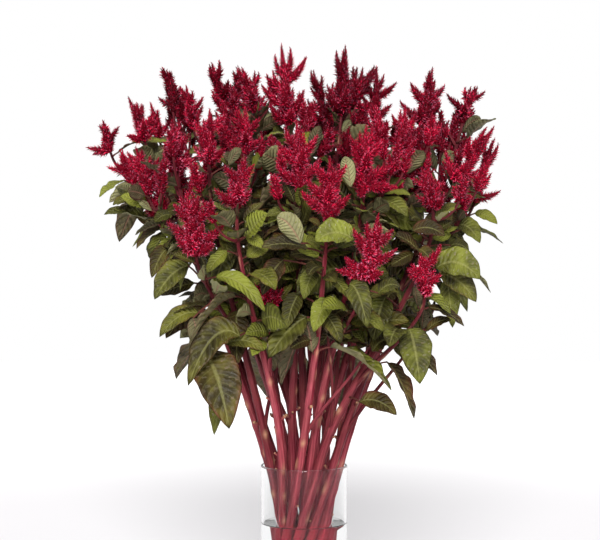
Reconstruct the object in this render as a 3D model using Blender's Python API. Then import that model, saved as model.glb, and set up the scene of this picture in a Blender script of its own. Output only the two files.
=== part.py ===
"""Wheat celosia: a bunch of cut plumed celosia standing in a clear glass vase of water.

The origin is at the centre of the vase's foot, +Z is up and the front of the bunch faces -Y.
Lengths are written in millimetres; MM turns them into metres where a mesh is made.

Every stem is one body with its side branches and leaves. Every flower head is a body of its own:
a long central spike with shorter ones crowding its base, all covered in rings of pointed florets.
"""
import math
import random

import bmesh
import bpy
import numpy as np
from mathutils import Vector
from mathutils.bvhtree import BVHTree

MM = 0.001
ASKEW = (0.31, 0.93, 0.17)
GAP = 0.3
CLEARANCE = 0.45
SEED = 7149

# Vase and water
VASE_RADIUS = 50.0
VASE_HEIGHT = 200.0
VASE_WALL = 3.0
VASE_BASE = 8.0
VASE_EDGE = 1.2
VASE_SIDES = 32
WATER_LEVEL = 132.0

# Bundle: straight stems that twist round a narrow waist under the water line
WAIST_HEIGHT = 95.0
WAIST_RADIUS = 24.0
LEAN = 0.318
RIM_HEIGHT = 206.0
OUTER_TURN = math.radians(-92.0)
INNER_TURN = math.radians(-66.0)

# Stems and branches
STEM_FOOT_RADIUS = 5.2
STEM_RIM_RADIUS = 4.9
STEM_TOP_RADIUS = 2.9
BRANCH_FOOT_RADIUS = 2.9
BRANCH_TOP_RADIUS = 2.3
STEM_SIDES = 6
BRANCH_SIDES = 5
STEM_RINGS = 9
BRANCH_RING_PITCH = 28.0
LEAST_BRANCH_RINGS = 5
MAIN_STEPS = 41
BRANCH_STEPS = 25
HEAD_PULL = 0.7
FORK_LEAN = 0.9
HOLE_EASE = 0.65
HOLE_REACH = 6.0
NODE_PITCH = 30.0
PITCH_SPREAD = (0.85, 1.15)
FIRST_NODE = 12.0
BARE_FOOT = 22.0
BARE_TOP = 14.0
FOLIAGE_FLOOR = 310.0
PHYLLOTAXY = math.radians(137.5)

# Florets: each ring of a spike has this many pointed tips, standing over the dips of the ring below
TIPS_PER_RING = 3
TIP_REACH = 1.30
DIP_REACH = 0.80
TIP_RISE = 0.30
DIP_RISE = -0.12
FLORET_TURN = 0.30
SWELL = 0.28
ROOT_GIRTH = 0.55
TAPER_POWER = 0.75
CORE_RINGS = 6
CORE_GROWTH = 1.1
SIDE_GIRTH = 0.64
LONG_SPIKE = 34.0
LONG_RINGS = 4
SHORT_RINGS = 3
ROOT_LOWEST = 0.05
ROOT_HIGHEST = 0.6
ROOT_DROP = 0.30
HEIGHT_WEIGHT = 2.2
SPIKE_PULL = 0.42
SPIKE_BULGE = 0.24
FREE_SHARE = 0.45
SPIKE_TRIES = ((1.0, 1.0), (0.94, 0.9), (1.08, 0.9), (1.15, 0.8), (0.86, 0.8), (0.75, 0.75), (0.62, 0.7),
               (0.5, 0.7))

# Leaves
LEAF_THICKNESS = 1.3
MIDRIB_THICKENING = 1.15
PETIOLE_RADIUS = 1.3
BLADE_STATIONS = (0.10, 0.36, 0.64, 0.86)
BASE_POWER = 0.68
TIP_POWER = 0.85
STALK_SHARE = 0.88
TIP_THINNING = 0.5
WAVE_TURNS = 17.0
WAVE_OFFSET = 1.3
MOST_LEAVES = 116
OUTER_FIRST = 0.45
BUNCH_SPREAD = 0.36

# Leaves placed by eye are moved and shrunk a little at each try
FRONT_TRIES = 48
FRONT_SHRINK = 0.007
FRONT_WAVE = 0.07
FRONT_STEP = ((-0.3, 0.3), (-0.7, 0.3), (-0.3, 0.3))
FRONT_ROLL = (-0.25, 0.25)
FRONT_FOLD = (0.12, 0.4)
STALK_DROP = 8.0
LOWEST_STALK = 225.0

# Leaves up the stems: length, slope in degrees, stalk, width, arch, roll and fold as ranges (width and
# arch are shares of the length), and how they change near a head
NODE_TRIES = 30
NODE_SHRINK = 0.012
NODE_LENGTH = (64.0, 96.0)
NODE_SLOPE = (-72.0, -14.0)
NODE_STALK = (10.0, 20.0)
NODE_WIDTH = (0.42, 0.56)
NODE_ARCH = (0.05, 0.15)
NODE_ROLL = (-0.6, 0.6)
NODE_FOLD = (0.10, 0.42)
NODE_LIFT = 7.0
NODE_WAVE = 0.03
NEAR_TOP = 150.0
TOP_SHRINK = 0.45
TOP_LIFT = 46.0
TURN_STEP = 0.12
OUTWARD = 0.5
MORE_OUTWARD = 0.9
PATIENCE = 8

# Main heads: name, ring, slot, base, tip, girth, side spikes as offsets of their tips from the base
MAIN_HEADS = (
    ("right_low", "outer", 0, (172, -10, 524), (217, -14, 591), 9.5,
     ((14, -18, 47), (-9, 16, 40), (28, 10, 16), (2, -22, 14), (-14, -6, 26))),
    ("right_high", "outer", 1, (186, 66, 594), (196, 70, 638), 8.5,
     ((-18, -8, 32), (24, 4, 33), (2, -20, 22), (6, 20, 24))),
    ("back_right", "outer", 2, (84, 96, 598), (86, 98, 663), 9.0,
     ((24, -10, 42), (-14, -4, 44), (4, 22, 34), (-2, -20, 22), (18, 12, 18))),
    ("back_mid", "outer", 3, (32, 160, 588), (36, 168, 646), 9.0,
     ((20, 6, 36), (-20, 4, 32), (4, 24, 24), (-4, -20, 26), (22, -8, 12))),
    ("back_left", "outer", 4, (-62, 156, 590), (-70, 162, 650), 9.0,
     ((18, 8, 34), (-22, 2, 34), (0, 24, 26), (4, -20, 22), (-16, 16, 12))),
    ("left_high", "outer", 5, (-150, 96, 602), (-163, 98, 659), 8.5,
     ((-8, -16, 38), (10, 4, 30), (-22, 14, 22), (2, 22, 20), (16, -14, 12))),
    ("left_wing", "outer", 6, (-186, 52, 572), (-206, 54, 626), 8.5,
     ((-26, 4, 26), (-20, -14, 8), (8, 12, 34), (0, -20, 26))),
    ("left_inner", "outer", 7, (-143, -48, 540), (-149, -50, 599), 9.5,
     ((-20, 6, 38), (14, -6, 42), (-12, -18, 22), (12, 16, 22), (4, -22, 12), (22, 6, 14))),
    ("left_front", "outer", 8, (-106, -74, 547), (-105, -76, 610), 9.5,
     ((-16, -10, 48), (16, 2, 50), (-16, 14, 20), (4, -24, 24), (18, -14, 18))),
    ("front_left", "outer", 9, (-73, -126, 499), (-67, -129, 556), 9.0,
     ((-14, -12, 48), (16, -8, 42), (-25, -8, 22), (2, -20, 26), (20, 4, 20), (-6, 16, 30))),
    ("front_mid", "outer", 10, (25, -136, 484), (28, -139, 556), 10.5,
     ((-23, -6, 48), (18, -8, 55), (-29, 2, 35), (23, -10, 29), (2, -22, 38), (-8, -20, 16),
      (12, 16, 40), (-12, -14, 60))),
    ("front_right", "outer", 11, (143, -82, 498), (138, -84, 540), 8.5,
     ((12, -6, 30), (-20, -4, 31), (-13, -16, 11), (10, -20, 10), (4, 18, 20))),
    ("right_inner", "inner", 0, (136, 14, 588), (148, 14, 659), 10.0,
     ((27, 6, 50), (-14, -6, 53), (-26, 4, 32), (18, -16, 25), (-4, -22, 24), (2, 22, 26))),
    ("tall_right", "inner", 1, (43, 42, 602), (48, 44, 686), 10.0,
     ((-4, -14, 68), (-11, 6, 46), (18, -4, 42), (-14, -18, 24), (6, -22, 30), (8, 22, 34))),
    ("left_tall", "inner", 2, (-92, 60, 612), (-108, 62, 666), 10.0,
     ((-16, 10, 24), (17, -4, 20), (4, -20, 32), (0, 22, 24), (-12, -18, 14))),
    ("left_centre", "inner", 3, (-66, -26, 558), (-67, -27, 612), 9.5,
     ((-16, -6, 38), (14, -4, 36), (0, -22, 24), (-14, 16, 18), (14, 16, 16))),
    ("front_centre", "inner", 4, (-5, -82, 516), (-9, -84, 598), 10.5,
     ((-24, -6, 56), (20, -4, 64), (-26, -10, 32), (24, -8, 38), (4, -24, 50), (-8, -24, 24),
      (10, 20, 48))),
    ("centre_right", "inner", 5, (66, -80, 519), (69, -82, 592), 10.5,
     ((-14, -10, 55), (22, 0, 57), (-17, -10, 28), (30, -4, 27), (4, -24, 40), (-4, -28, -8),
      (38, -12, 2), (8, 20, 40))),
    ("tall_left", "centre", 0, (-18, 0, 588), (-26, 0, 685), 10.5,
     ((21, -6, 82), (22, 4, 66), (-31, -2, 50), (-17, 8, 52), (18, -12, 44), (-6, -22, 48),
      (4, -20, 22), (-2, 22, 40), (-20, -12, 24))),
)

# Side heads: name, parent, height of the fork, base, tip, girth, side spikes
SIDE_HEADS = (
    ("right_hip", "right_low", 420, (176, -48, 490), (176, -50, 524), 7.5,
     ((9, -8, 20), (-10, -8, 16), (0, 14, 14))),
    ("right_edge", "right_low", 390, (198, 30, 502), (222, 32, 578), 8.5,
     ((30, -6, 14), (8, -16, 42), (18, 14, 30), (-12, -8, 24))),
    ("right_bud", "right_high", 500, (160, 58, 560), (163, 58, 593), 6.5,
     ((10, -4, 22), (-10, -8, 16))),
    ("back_right_low", "back_right", 470, (124, 124, 562), (132, 130, 612), 8.0,
     ((16, 4, 28), (-14, 10, 28), (4, -16, 20), (4, 18, 12))),
    ("back_low", "back_left", 450, (-16, 168, 545), (-18, 176, 594), 8.0,
     ((16, 2, 28), (-16, 4, 26), (0, 20, 16))),
    ("back_right_mid", "back_mid", 460, (86, 156, 548), (96, 164, 596), 8.0,
     ((16, 2, 26), (-12, 12, 26), (2, -16, 18))),
    ("left_top", "left_high", 490, (-172, 114, 572), (-184, 116, 621), 8.0,
     ((-10, -10, 34), (10, 12, 26), (-14, 10, 18))),
    ("left_edge", "left_wing", 450, (-223, 18, 560), (-232, 16, 598), 7.5,
     ((-28, -4, 6), (-20, 4, -2), (9, -8, 26), (-14, -8, 28))),
    ("left_hip", "left_wing", 420, (-194, 2, 519), (-209, 2, 564), 7.5,
     ((-32, 0, 25), (-23, -10, 30), (12, -8, 30), (0, 16, 22))),
    ("left_low", "left_inner", 430, (-176, -46, 512), (-190, -46, 568), 8.5,
     ((-20, -4, 43), (13, -4, 42), (-16, -12, 28), (6, -18, 22), (14, -8, 12), (-4, 16, 24))),
    ("left_ball", "left_front", 330, (-118, -130, 447), (-128, -132, 519), 11.0,
     ((3, -10, 62), (28, -4, 32), (-32, -2, 38), (-22, -6, 54), (17, -8, 52), (-18, -16, 18),
      (8, -24, 34), (-8, -24, 22), (20, -12, 14), (2, 20, 34))),
    ("low_dark", "front_left", 300, (-38, -104, 391), (-47, -106, 433), 8.5,
     ((-17, -4, 22), (10, -6, 26), (-4, -18, 16), (12, -8, 8), (-14, -10, 4))),
    ("front_ball", "centre_right", 320, (66, -150, 422), (80, -153, 495), 11.0,
     ((28, -6, 52), (-12, -6, 52), (-22, -8, 26), (30, -8, 30), (4, -24, 44), (-6, -26, 18),
      (18, -18, 10), (-28, 0, 10), (4, 18, 34))),
    ("right_ball", "front_right", 290, (132, -112, 404), (127, -114, 450), 9.5,
     ((18, -6, 56), (-18, -6, 27), (16, -8, 22), (0, -22, 28), (-12, -14, 10), (6, -18, 8))),
    ("right_mid", "right_inner", 450, (112, -26, 552), (115, -28, 614), 8.5,
     ((-12, -4, 48), (13, -4, 48), (-8, -16, 26), (14, -12, 22), (2, 16, 24))),
    ("centre_mid", "centre_right", 440, (90, -36, 552), (80, -38, 615), 8.5,
     ((-14, 4, 40), (-10, -12, 26), (4, -14, 40), (-4, 16, 26))),
    ("centre_top", "tall_right", 520, (26, 84, 600), (11, 86, 658), 8.0,
     ((-8, -8, 33), (12, 10, 30), (-4, 18, 18))),
    ("left_spire", "left_tall", 520, (-56, 22, 606), (-77, 22, 660), 8.0,
     ((0, -6, 34), (-20, 4, 12), (-6, -16, 26), (4, 14, 18))),
    ("left_shoulder", "left_tall", 500, (-128, 38, 586), (-137, 38, 639), 8.5,
     ((-20, -4, 25), (10, -6, 34), (-4, -18, 22), (-4, 16, 18))),
)

# Leaves seen from the front: blade base, blade tip, width, arch (height of the bow over the chord)
FRONT_LEAVES = (
    ((-109, -112, 336), (-82, -136, 258), 50, 16),
    ((-70, -122, 356), (-130, -132, 298), 38, 26),
    ((55, -152, 466), (12, -162, 464), 32, 9),
    ((41, -140, 424), (66, -156, 362), 35, 12),
    ((116, -112, 366), (127, -124, 306), 36, 8),
    ((-57, -124, 505), (-42, -136, 450), 28, 8),
    ((-96, -130, 424), (-42, -142, 386), 20, 12),
    ((146, -92, 432), (194, -102, 420), 24, 12),
    ((152, -76, 424), (191, -90, 394), 22, 8),
    ((-129, -82, 434), (-166, -92, 397), 30, 8),
    ((-132, -106, 412), (-154, -116, 376), 23, 7),
    ((-118, -92, 382), (-160, -102, 356), 22, 9),
    ((-152, -66, 452), (-170, -76, 420), 20, 7),
    ((-200, 4, 525), (-231, 2, 499), 15, 8),
    ((-193, -20, 502), (-217, -30, 500), 12, 5),
    ((-150, -62, 490), (-167, -72, 482), 15, 3),
    ((-86, -112, 349), (-44, -122, 342), 18, 8),
    ((-122, -112, 378), (-114, -104, 330), 20, 6),
    ((52, -116, 523), (45, -124, 557), 16, 4),
    ((-4, -152, 462), (-30, -160, 490), 24, 7),
    ((80, -152, 408), (104, -152, 414), 16, 6),
    ((76, -94, 340), (98, -106, 352), 24, 6),
    ((62, -82, 282), (103, -92, 268), 22, 8),
    ((60, -66, 296), (48, -76, 336), 15, 4),
    ((136, -84, 362), (163, -92, 374), 12, 4),
    ((160, -62, 418), (166, -72, 364), 22, 6),
    ((174, -36, 478), (198, -52, 458), 18, 7),
    ((196, 0, 490), (221, -12, 478), 13, 4),
    ((164, -64, 456), (184, -72, 450), 14, 4),
    ((120, -104, 474), (155, -108, 468), 16, 6),
    ((104, -112, 446), (132, -122, 456), 16, 5),
    ((8, -24, 556), (18, -34, 590), 15, 4),
    ((-23, -122, 442), (-46, -132, 404), 24, 6),
    ((20, -112, 436), (4, -122, 396), 26, 6),
    ((90, -100, 400), (76, -112, 352), 28, 7),
    ((102, -92, 436), (116, -104, 396), 26, 6),
    ((-91, -92, 398), (-115, -102, 362), 28, 7),
    ((-80, -100, 454), (-99, -112, 412), 26, 7),
    ((-60, -100, 440), (-74, -112, 396), 26, 6),
    ((9, -100, 340), (2, -110, 374), 20, 5),
    ((-84, -64, 546), (-70, -74, 564), 12, 3),
    ((30, -118, 400), (12, -128, 362), 24, 6),
    ((-6, -112, 404), (-20, -124, 366), 22, 6),
    ((130, -88, 452), (148, -98, 428), 18, 5),
)


def unit(vector):
    """The vector at length one."""
    vector = np.asarray(vector, float)
    return vector / np.linalg.norm(vector)


def smooth_step(low, high, value):
    """0 below low, 1 above high, and an S-curve between."""
    t = min(1.0, max(0.0, (value - low) / (high - low)))
    return t * t * (3.0 - 2.0 * t)


def hermite(start, start_way, end, end_way, t):
    """Point at t on the cubic from start to end that leaves and arrives along the two ways."""
    t = np.atleast_1d(t)[:, None]
    return ((2 * t**3 - 3 * t**2 + 1) * start + (t**3 - 2 * t**2 + t) * start_way
            + (3 * t**2 - 2 * t**3) * end + (t**3 - t**2) * end_way)


def bezier(start, pull, end, t):
    """Points at t on the quadratic curve from start to end that is pulled towards pull."""
    t = np.atleast_1d(t)[:, None]
    return (1 - t) ** 2 * start + 2 * t * (1 - t) * pull + t**2 * end


def frames(points, ways=None):
    """Two unit vectors square to the curve at each point, carried along it without twist."""
    if ways is None:
        ways = np.gradient(points, axis=0)
        ways /= np.linalg.norm(ways, axis=1)[:, None]
    side = np.cross(ways[0], ASKEW)
    sides, ups = [], []
    for way in ways:
        side = unit(side - way * side.dot(way))
        sides.append(side)
        ups.append(np.cross(way, side))
    return np.array(sides), np.array(ups), ways


def waist_place(ring, slot):
    """Where a stem passes the waist, as an (x, y) pair."""
    if ring == "centre":
        return np.zeros(2)
    count, radius, turn = (12, WAIST_RADIUS, OUTER_TURN) if ring == "outer" else (
        6, WAIST_RADIUS / 2, INNER_TURN)
    angle = turn + slot * math.tau / count
    return radius * np.array((math.cos(angle), math.sin(angle)))


def bundle_point(waist, height):
    """A stem's centre at a height inside the vase: the twist carries it square to its radius."""
    twist = LEAN / WAIST_RADIUS * (height - WAIST_HEIGHT)
    return np.array((waist[0] - twist * waist[1], waist[1] + twist * waist[0], height))


class Route:
    """A stem's centre line from foot to head, with its radius along the way."""

    def __init__(self, points, radii):
        self.points = np.asarray(points, float)
        self.radii = np.asarray(radii, float)
        steps = np.linalg.norm(np.diff(self.points, axis=0), axis=1)
        self.run = np.concatenate(((0.0,), np.cumsum(steps)))

    def at(self, length):
        """Point at a length along the route."""
        return np.array([np.interp(length, self.run, self.points[:, axis]) for axis in range(3)])

    def way(self, length):
        """Direction at a length along the route."""
        return unit(self.at(length + 1.0) - self.at(length - 1.0))

    def place_rings(self, lengths):
        """Settle where the stem's rings lie."""
        self.rings = np.asarray(lengths, float)
        self.centres = np.array([self.at(length) for length in lengths])

    def heart(self, length):
        """Middle of the stem's body at a length, on the straight line between its rings."""
        return np.array([np.interp(length, self.rings, self.centres[:, axis]) for axis in range(3)])

    def radius(self, length):
        """Radius at a length along the route."""
        return float(np.interp(length, self.run, self.radii))

    def at_height(self, height):
        """Length along the route at which it passes a height."""
        return float(np.interp(height, self.points[:, 2], self.run))


def main_route(head):
    """A stem stands straight in the vase, then bows out of the rim to its head."""
    ring, slot, base, tip = head[1:5]
    waist = waist_place(ring, slot)
    foot = bundle_point(waist, VASE_BASE + GAP)
    rim = bundle_point(waist, RIM_HEIGHT)
    base, tip = np.array(base, float), np.array(tip, float)
    reach = np.linalg.norm(base - rim)
    t = np.linspace(0.0, 1.0, MAIN_STEPS)
    top = base - unit(tip - base) * GAP
    bow = hermite(rim, unit(rim - foot) * reach, top, unit(tip - base) * reach * HEAD_PULL, t)
    points = np.vstack((foot[None], bow))
    radii = np.concatenate(((STEM_FOOT_RADIUS,),
                            STEM_RIM_RADIUS + (STEM_TOP_RADIUS - STEM_RIM_RADIUS) * t))
    route = Route(points, radii)
    route.place_rings([0.0, *np.linspace(route.run[1], route.run[-1], STEM_RINGS)])
    return route


def branch_route(parent, head):
    """A side shoot leaves its stem at the fork and curves up to its own head."""
    fork, base, tip = head[2:5]
    length = parent.at_height(fork)
    start = parent.heart(length)
    base, tip = np.array(base, float), np.array(tip, float)
    reach = np.linalg.norm(base - start)
    leave = unit(parent.way(length) + FORK_LEAN * unit(base - start))
    t = np.linspace(0.0, 1.0, BRANCH_STEPS)
    top = base - unit(tip - base) * GAP
    points = hermite(start, leave * reach, top, unit(tip - base) * reach * HEAD_PULL, t)
    route = Route(points, BRANCH_FOOT_RADIUS + (BRANCH_TOP_RADIUS - BRANCH_FOOT_RADIUS) * t)
    rings = max(LEAST_BRANCH_RINGS, round(route.run[-1] / BRANCH_RING_PITCH))
    route.place_rings(np.linspace(0.0, route.run[-1], rings))
    return route


def tube(route, sides, level_foot=False):
    """Closed tube through a route's rings, as (points, faces); a level foot stands flat."""
    lengths, centres = route.rings, route.centres
    side, up, _ = frames(centres, np.array([route.way(length) for length in lengths]))
    if level_foot:
        side[0] = unit((side[0][0], side[0][1], 0.0))
        up[0] = np.cross((0.0, 0.0, 1.0), side[0])
    angles = np.arange(sides) * math.tau / sides
    points = []
    for centre, a, b, length in zip(centres, side, up, lengths):
        radius = route.radius(length)
        points += [centre + radius * (math.cos(q) * a + math.sin(q) * b) for q in angles]
    faces = [tuple(reversed(range(sides)))]
    for ring in range(len(lengths) - 1):
        low, high = ring * sides, (ring + 1) * sides
        for k in range(sides):
            n = (k + 1) % sides
            faces.append((low + k, low + n, high + n, high + k))
    faces.append(tuple(range(len(points) - sides, len(points))))
    return np.array(points), faces


def spike_girth(t):
    """How the girth of a spike runs from its root (0) to its tip (1): a quick swell, a long taper."""
    if t < SWELL:
        return ROOT_GIRTH + (1.0 - ROOT_GIRTH) * math.sin(math.pi / 2 * t / SWELL)
    return ((1.0 - t) / (1.0 - SWELL)) ** TAPER_POWER


class Head:
    """A flower head grown as one skin: a floreted core, and side spikes drawn out of its facets."""

    def __init__(self, base, tip, girth, rings):
        self.rings, self.corners = rings, 2 * TIPS_PER_RING
        self.axis = tip - base
        self.points, self.faces, self.spikes = [], [], []
        centres = base + np.linspace(0.0, 1.0, rings + 1)[:, None] * self.axis
        side, up, ways = frames(centres)
        for ring in range(rings):
            turn = FLORET_TURN * ring
            self.add_ring(centres[ring], side[ring], up[ring], ways[ring], ring, self.corners,
                          girth * spike_girth(ring / rings), turn, girth)
        self.points.append(tip)
        self.taken = set()

    def add_ring(self, centre, side, up, way, ring, corners, radius, turn, girth):
        """One ring of florets: every other corner is a pointed tip, the rest are dips between."""
        for corner in range(corners):
            angle = corner * math.tau / corners + turn
            is_tip = (corner + ring) % 2 == 0 and ring > 0
            reach = 1.0 if ring == 0 else TIP_REACH if is_tip else DIP_REACH
            rise = 0.0 if ring == 0 else girth * (TIP_RISE if is_tip else DIP_RISE)
            around = math.cos(angle) * side + math.sin(angle) * up
            self.points.append(centre + radius * reach * around + rise * way)

    def facet(self, ring, k):
        """Corner numbers of the facet between two rings of the core, running round it."""
        n = (k + 1) % self.corners
        low, high = ring * self.corners, (ring + 1) * self.corners
        return (low + k, low + n, high + n, high + k)

    def nearest_facet(self, share, way):
        """Free facet of the core that faces the way at about that share of its height."""
        best = None
        for ring in range(self.rings - 1):
            for k in range(self.corners):
                if (ring, k) in self.taken:
                    continue
                a, b, c, d = (self.points[corner] for corner in self.facet(ring, k))
                out = unit(np.cross(c - a, d - b))
                score = out.dot(way) - HEIGHT_WEIGHT * abs((ring + ROOT_HIGHEST) / self.rings - share)
                if best is None or score > best[0]:
                    best = (score, ring, k, out)
        return best[1:]

    def grow_spike(self, tip, girth, rings):
        """Rings of a side spike from a facet of the core to its own tip, as (facet, points)."""
        base = np.mean(self.points[:self.corners], axis=0)
        reach = tip - base
        height = np.linalg.norm(self.axis)
        share = min(ROOT_HIGHEST, max(ROOT_LOWEST, reach.dot(self.axis) / height**2 - ROOT_DROP))
        sideways = unit(reach - self.axis * reach.dot(self.axis) / height**2)
        ring, k, out = self.nearest_facet(share, sideways)
        corners = [self.points[corner] for corner in self.facet(ring, k)]
        root = np.mean(corners, axis=0)
        far = np.linalg.norm(tip - root)
        pull = root + (tip - root) * SPIKE_PULL + out * far * SPIKE_BULGE
        stops = bezier(root, pull, tip, np.linspace(0.0, 1.0, rings + 1))
        side, up, ways = frames(stops)
        first = corners[0] - root
        turn = math.atan2(first.dot(up[0]), first.dot(side[0]))
        kept = len(self.points)
        for stop in range(1, rings):
            self.add_ring(stops[stop], side[stop], up[stop], ways[stop], stop, 4,
                          girth * spike_girth(stop / rings), turn, girth)
        points = self.points[kept:] + [tip]
        del self.points[kept:]
        return (ring, k), points

    def keep_spike(self, facet, points):
        """Add a spike's rings to the skin."""
        self.taken.add(facet)
        self.spikes.append((facet, len(self.points), (len(points) - 1) // 4))
        self.points += points

    def drop_spike(self):
        """Take the last side spike off again."""
        facet, start, _ = self.spikes.pop()
        self.taken.discard(facet)
        del self.points[start:]

    def free_part(self, facet, points):
        """The spike closed off just above its facet, for trying it against the rest."""
        root = [np.asarray(self.points[corner]) for corner in self.facet(*facet)]
        low = [corner * (1 - FREE_SHARE) + above * FREE_SHARE for corner, above in zip(root, points)]
        return np.array(low + points), spike_faces(4, (len(points) - 1) // 4 + 1)

    def skin(self):
        """The whole head as (points, faces)."""
        faces = [tuple(reversed(range(self.corners)))]
        for ring in range(self.rings - 1):
            for k in range(self.corners):
                if (ring, k) not in self.taken:
                    faces += split(*self.facet(ring, k), (k + ring) % 2 == 0)
        last, top = (self.rings - 1) * self.corners, self.rings * self.corners
        faces += [(last + k, last + (k + 1) % self.corners, top) for k in range(self.corners)]
        for facet, start, rings in self.spikes:
            low = self.facet(*facet)
            for ring in range(rings):
                high = [start + ring * 4 + k for k in range(4)]
                for k in range(4):
                    n = (k + 1) % 4
                    faces += split(low[k], low[n], high[n], high[k], (k + ring) % 2 == 0)
                low = high
            faces += [(low[k], low[(k + 1) % 4], start + rings * 4) for k in range(4)]
        return np.array(self.points), faces


def split(a, b, c, d, forward):
    """Two triangles for a four-cornered facet, along one diagonal or the other."""
    return [(a, b, d), (b, c, d)] if forward else [(a, b, c), (a, c, d)]


def spike_faces(corners, rings):
    """Faces of a closed spike: a flat root, rings of corners, and one last point."""
    faces = [tuple(reversed(range(corners)))]
    for ring in range(rings - 1):
        low, high = ring * corners, (ring + 1) * corners
        for k in range(corners):
            n = (k + 1) % corners
            faces += split(low + k, low + n, high + n, high + k, (k + ring) % 2 == 0)
    last = (rings - 1) * corners
    return faces + [(last + k, last + (k + 1) % corners, rings * corners) for k in range(corners)]


def leaf_width(u):
    """Half width of a blade, as a share of its widest, from its base (0) to its tip (1)."""
    widest = BASE_POWER / (BASE_POWER + TIP_POWER)
    return (u / widest) ** BASE_POWER * ((1.0 - u) / (1.0 - widest)) ** TIP_POWER


class Leaf:
    """A leaf's plan: its stalk's root, its blade's base, bow and tip, and how its blade is held."""

    def __init__(self, root, base, tip, width, arch, roll, fold, wave):
        self.root, self.base, self.tip = (np.asarray(p, float) for p in (root, base, tip))
        self.width, self.roll, self.fold, self.wave = width, roll, fold, wave
        chord = self.tip - self.base
        self.pull = (self.base + self.tip) / 2 + np.array((0.0, 0.0, 1.0)) * arch * 2
        level = np.cross(chord, (0.0, 0.0, 1.0))
        if np.linalg.norm(level) < 0.2 * np.linalg.norm(chord):
            level = np.cross(chord, (0.0, 1.0, 0.0)) * (1 if chord[2] < 0 else -1)
        self.level = unit(level)

    def midrib(self, u):
        """Point on the midrib."""
        return bezier(self.base, self.pull, self.tip, u)[0]

    def across(self, u):
        """Unit vectors across and out of the blade at u, with the leaf's roll."""
        way = unit(self.midrib(min(1.0, u + 0.02)) - self.midrib(max(0.0, u - 0.02)))
        side = unit(self.level - way * self.level.dot(way))
        up = np.cross(side, way)
        return (math.cos(self.roll) * side + math.sin(self.roll) * up,
                math.cos(self.roll) * up - math.sin(self.roll) * side)

    def edge(self, u, hand):
        """Point on the blade's edge: half width out, folded up and waved."""
        side, up = self.across(u)
        half = self.width / 2 * leaf_width(u)
        phase = u * WAVE_TURNS + hand * WAVE_OFFSET + self.width
        wave = self.wave * math.sin(phase) * smooth_step(0.0, 0.2, 1.0 - u)
        return self.midrib(u) + hand * half * math.cos(self.fold) * side + (
            half * math.sin(self.fold) + wave) * up


def leaf_mesh(leaf, inflate=0.0, stalk=True):
    """Closed leaf of thin diamond sections, as (points, faces)."""
    sections = []
    reach = leaf.base - leaf.root
    side, up = leaf.across(0.0)
    blade_way = leaf.midrib(0.02) - leaf.base
    turn = Vector(blade_way).rotation_difference(Vector(reach))
    side, up = np.array(turn @ Vector(side)), np.array(turn @ Vector(up))
    stops = (leaf.root, leaf.root + reach * STALK_SHARE) if stalk else ()
    for middle in stops:
        half = PETIOLE_RADIUS + inflate
        sections.append((middle - side * half, middle + up * half, middle + side * half,
                         middle - up * half))
    for u in BLADE_STATIONS:
        _, up = leaf.across(u)
        middle = leaf.midrib(u)
        half = (LEAF_THICKNESS / 2 * (MIDRIB_THICKENING - TIP_THINNING * u) + inflate) * up
        spread = [point + inflate * unit(point - middle) for point in (leaf.edge(u, -1), leaf.edge(u, 1))]
        sections.append((spread[0], middle + half, spread[1], middle - half))
    points = [point for section in sections for point in section]
    points.append(leaf.tip)
    faces = [(3, 2, 1, 0)]
    for ring in range(len(sections) - 1):
        low, high = ring * 4, (ring + 1) * 4
        for k, n, start in ((0, 1, 0), (1, 2, 2), (2, 3, 2), (3, 0, 0)):
            if start == k:
                faces += [(low + k, low + n, high + n), (low + k, high + n, high + k)]
            else:
                faces += [(low + k, low + n, high + k), (low + n, high + n, high + k)]
    last = len(points) - 5
    faces += [(last + k, last + (k + 1) % 4, len(points) - 1) for k in range(4)]
    return np.array(points), faces


class Space:
    """What is already in place, so that a new piece can be tried against it."""

    def __init__(self):
        self.trees = []

    def add(self, owner, points, faces):
        """Keep a piece under its owner's name."""
        low, high = points.min(axis=0), points.max(axis=0)
        self.trees.append((owner, low, high, BVHTree.FromPolygons(points.tolist(), faces)))

    def is_hit(self, points, faces, skip=None):
        """Whether a piece would cross any other, leaving out those of one owner."""
        low, high = points.min(axis=0) - CLEARANCE, points.max(axis=0) + CLEARANCE
        tree = None
        for owner, near, far, other in self.trees:
            if owner == skip or (near > high).any() or (far < low).any():
                continue
            tree = tree or BVHTree.FromPolygons(points.tolist(), faces)
            if tree.overlap(other):
                return True
        return False


def crosses_itself(points, faces):
    """Whether two faces that share no corner meet."""
    tree = BVHTree.FromPolygons(points.tolist(), faces)
    corners = [set(face) for face in faces]
    return any(not corners[a] & corners[b] for a, b in tree.overlap(tree))


def swell(points, faces, amount):
    """The piece grown outwards by an amount, for trying its clearance."""
    normals = np.zeros_like(points)
    for face in faces:
        a, b, c = points[face[0]], points[face[1]], points[face[2]]
        normal = np.cross(b - a, c - a)
        for corner in face:
            normals[corner] += normal
    lengths = np.maximum(np.linalg.norm(normals, axis=1), 1e-9)[:, None]
    return points + normals / lengths * amount


def plan_heads(space):
    """Every head with the side spikes that stand clear of each other, of other heads and of stems."""
    heads = {}
    for name, _, _, base, tip, girth, _ in MAIN_HEADS + SIDE_HEADS:
        head = Head(np.array(base, float), np.array(tip, float), girth * CORE_GROWTH, CORE_RINGS)
        space.add("head_" + name, *head.skin())
        heads[name] = head
    for name, _, _, base, _, girth, offsets in MAIN_HEADS + SIDE_HEADS:
        for offset in offsets:
            add_side_spike(space, heads[name], "head_" + name, np.array(base, float), girth * SIDE_GIRTH,
                           np.array(offset, float))
    return heads


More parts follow.
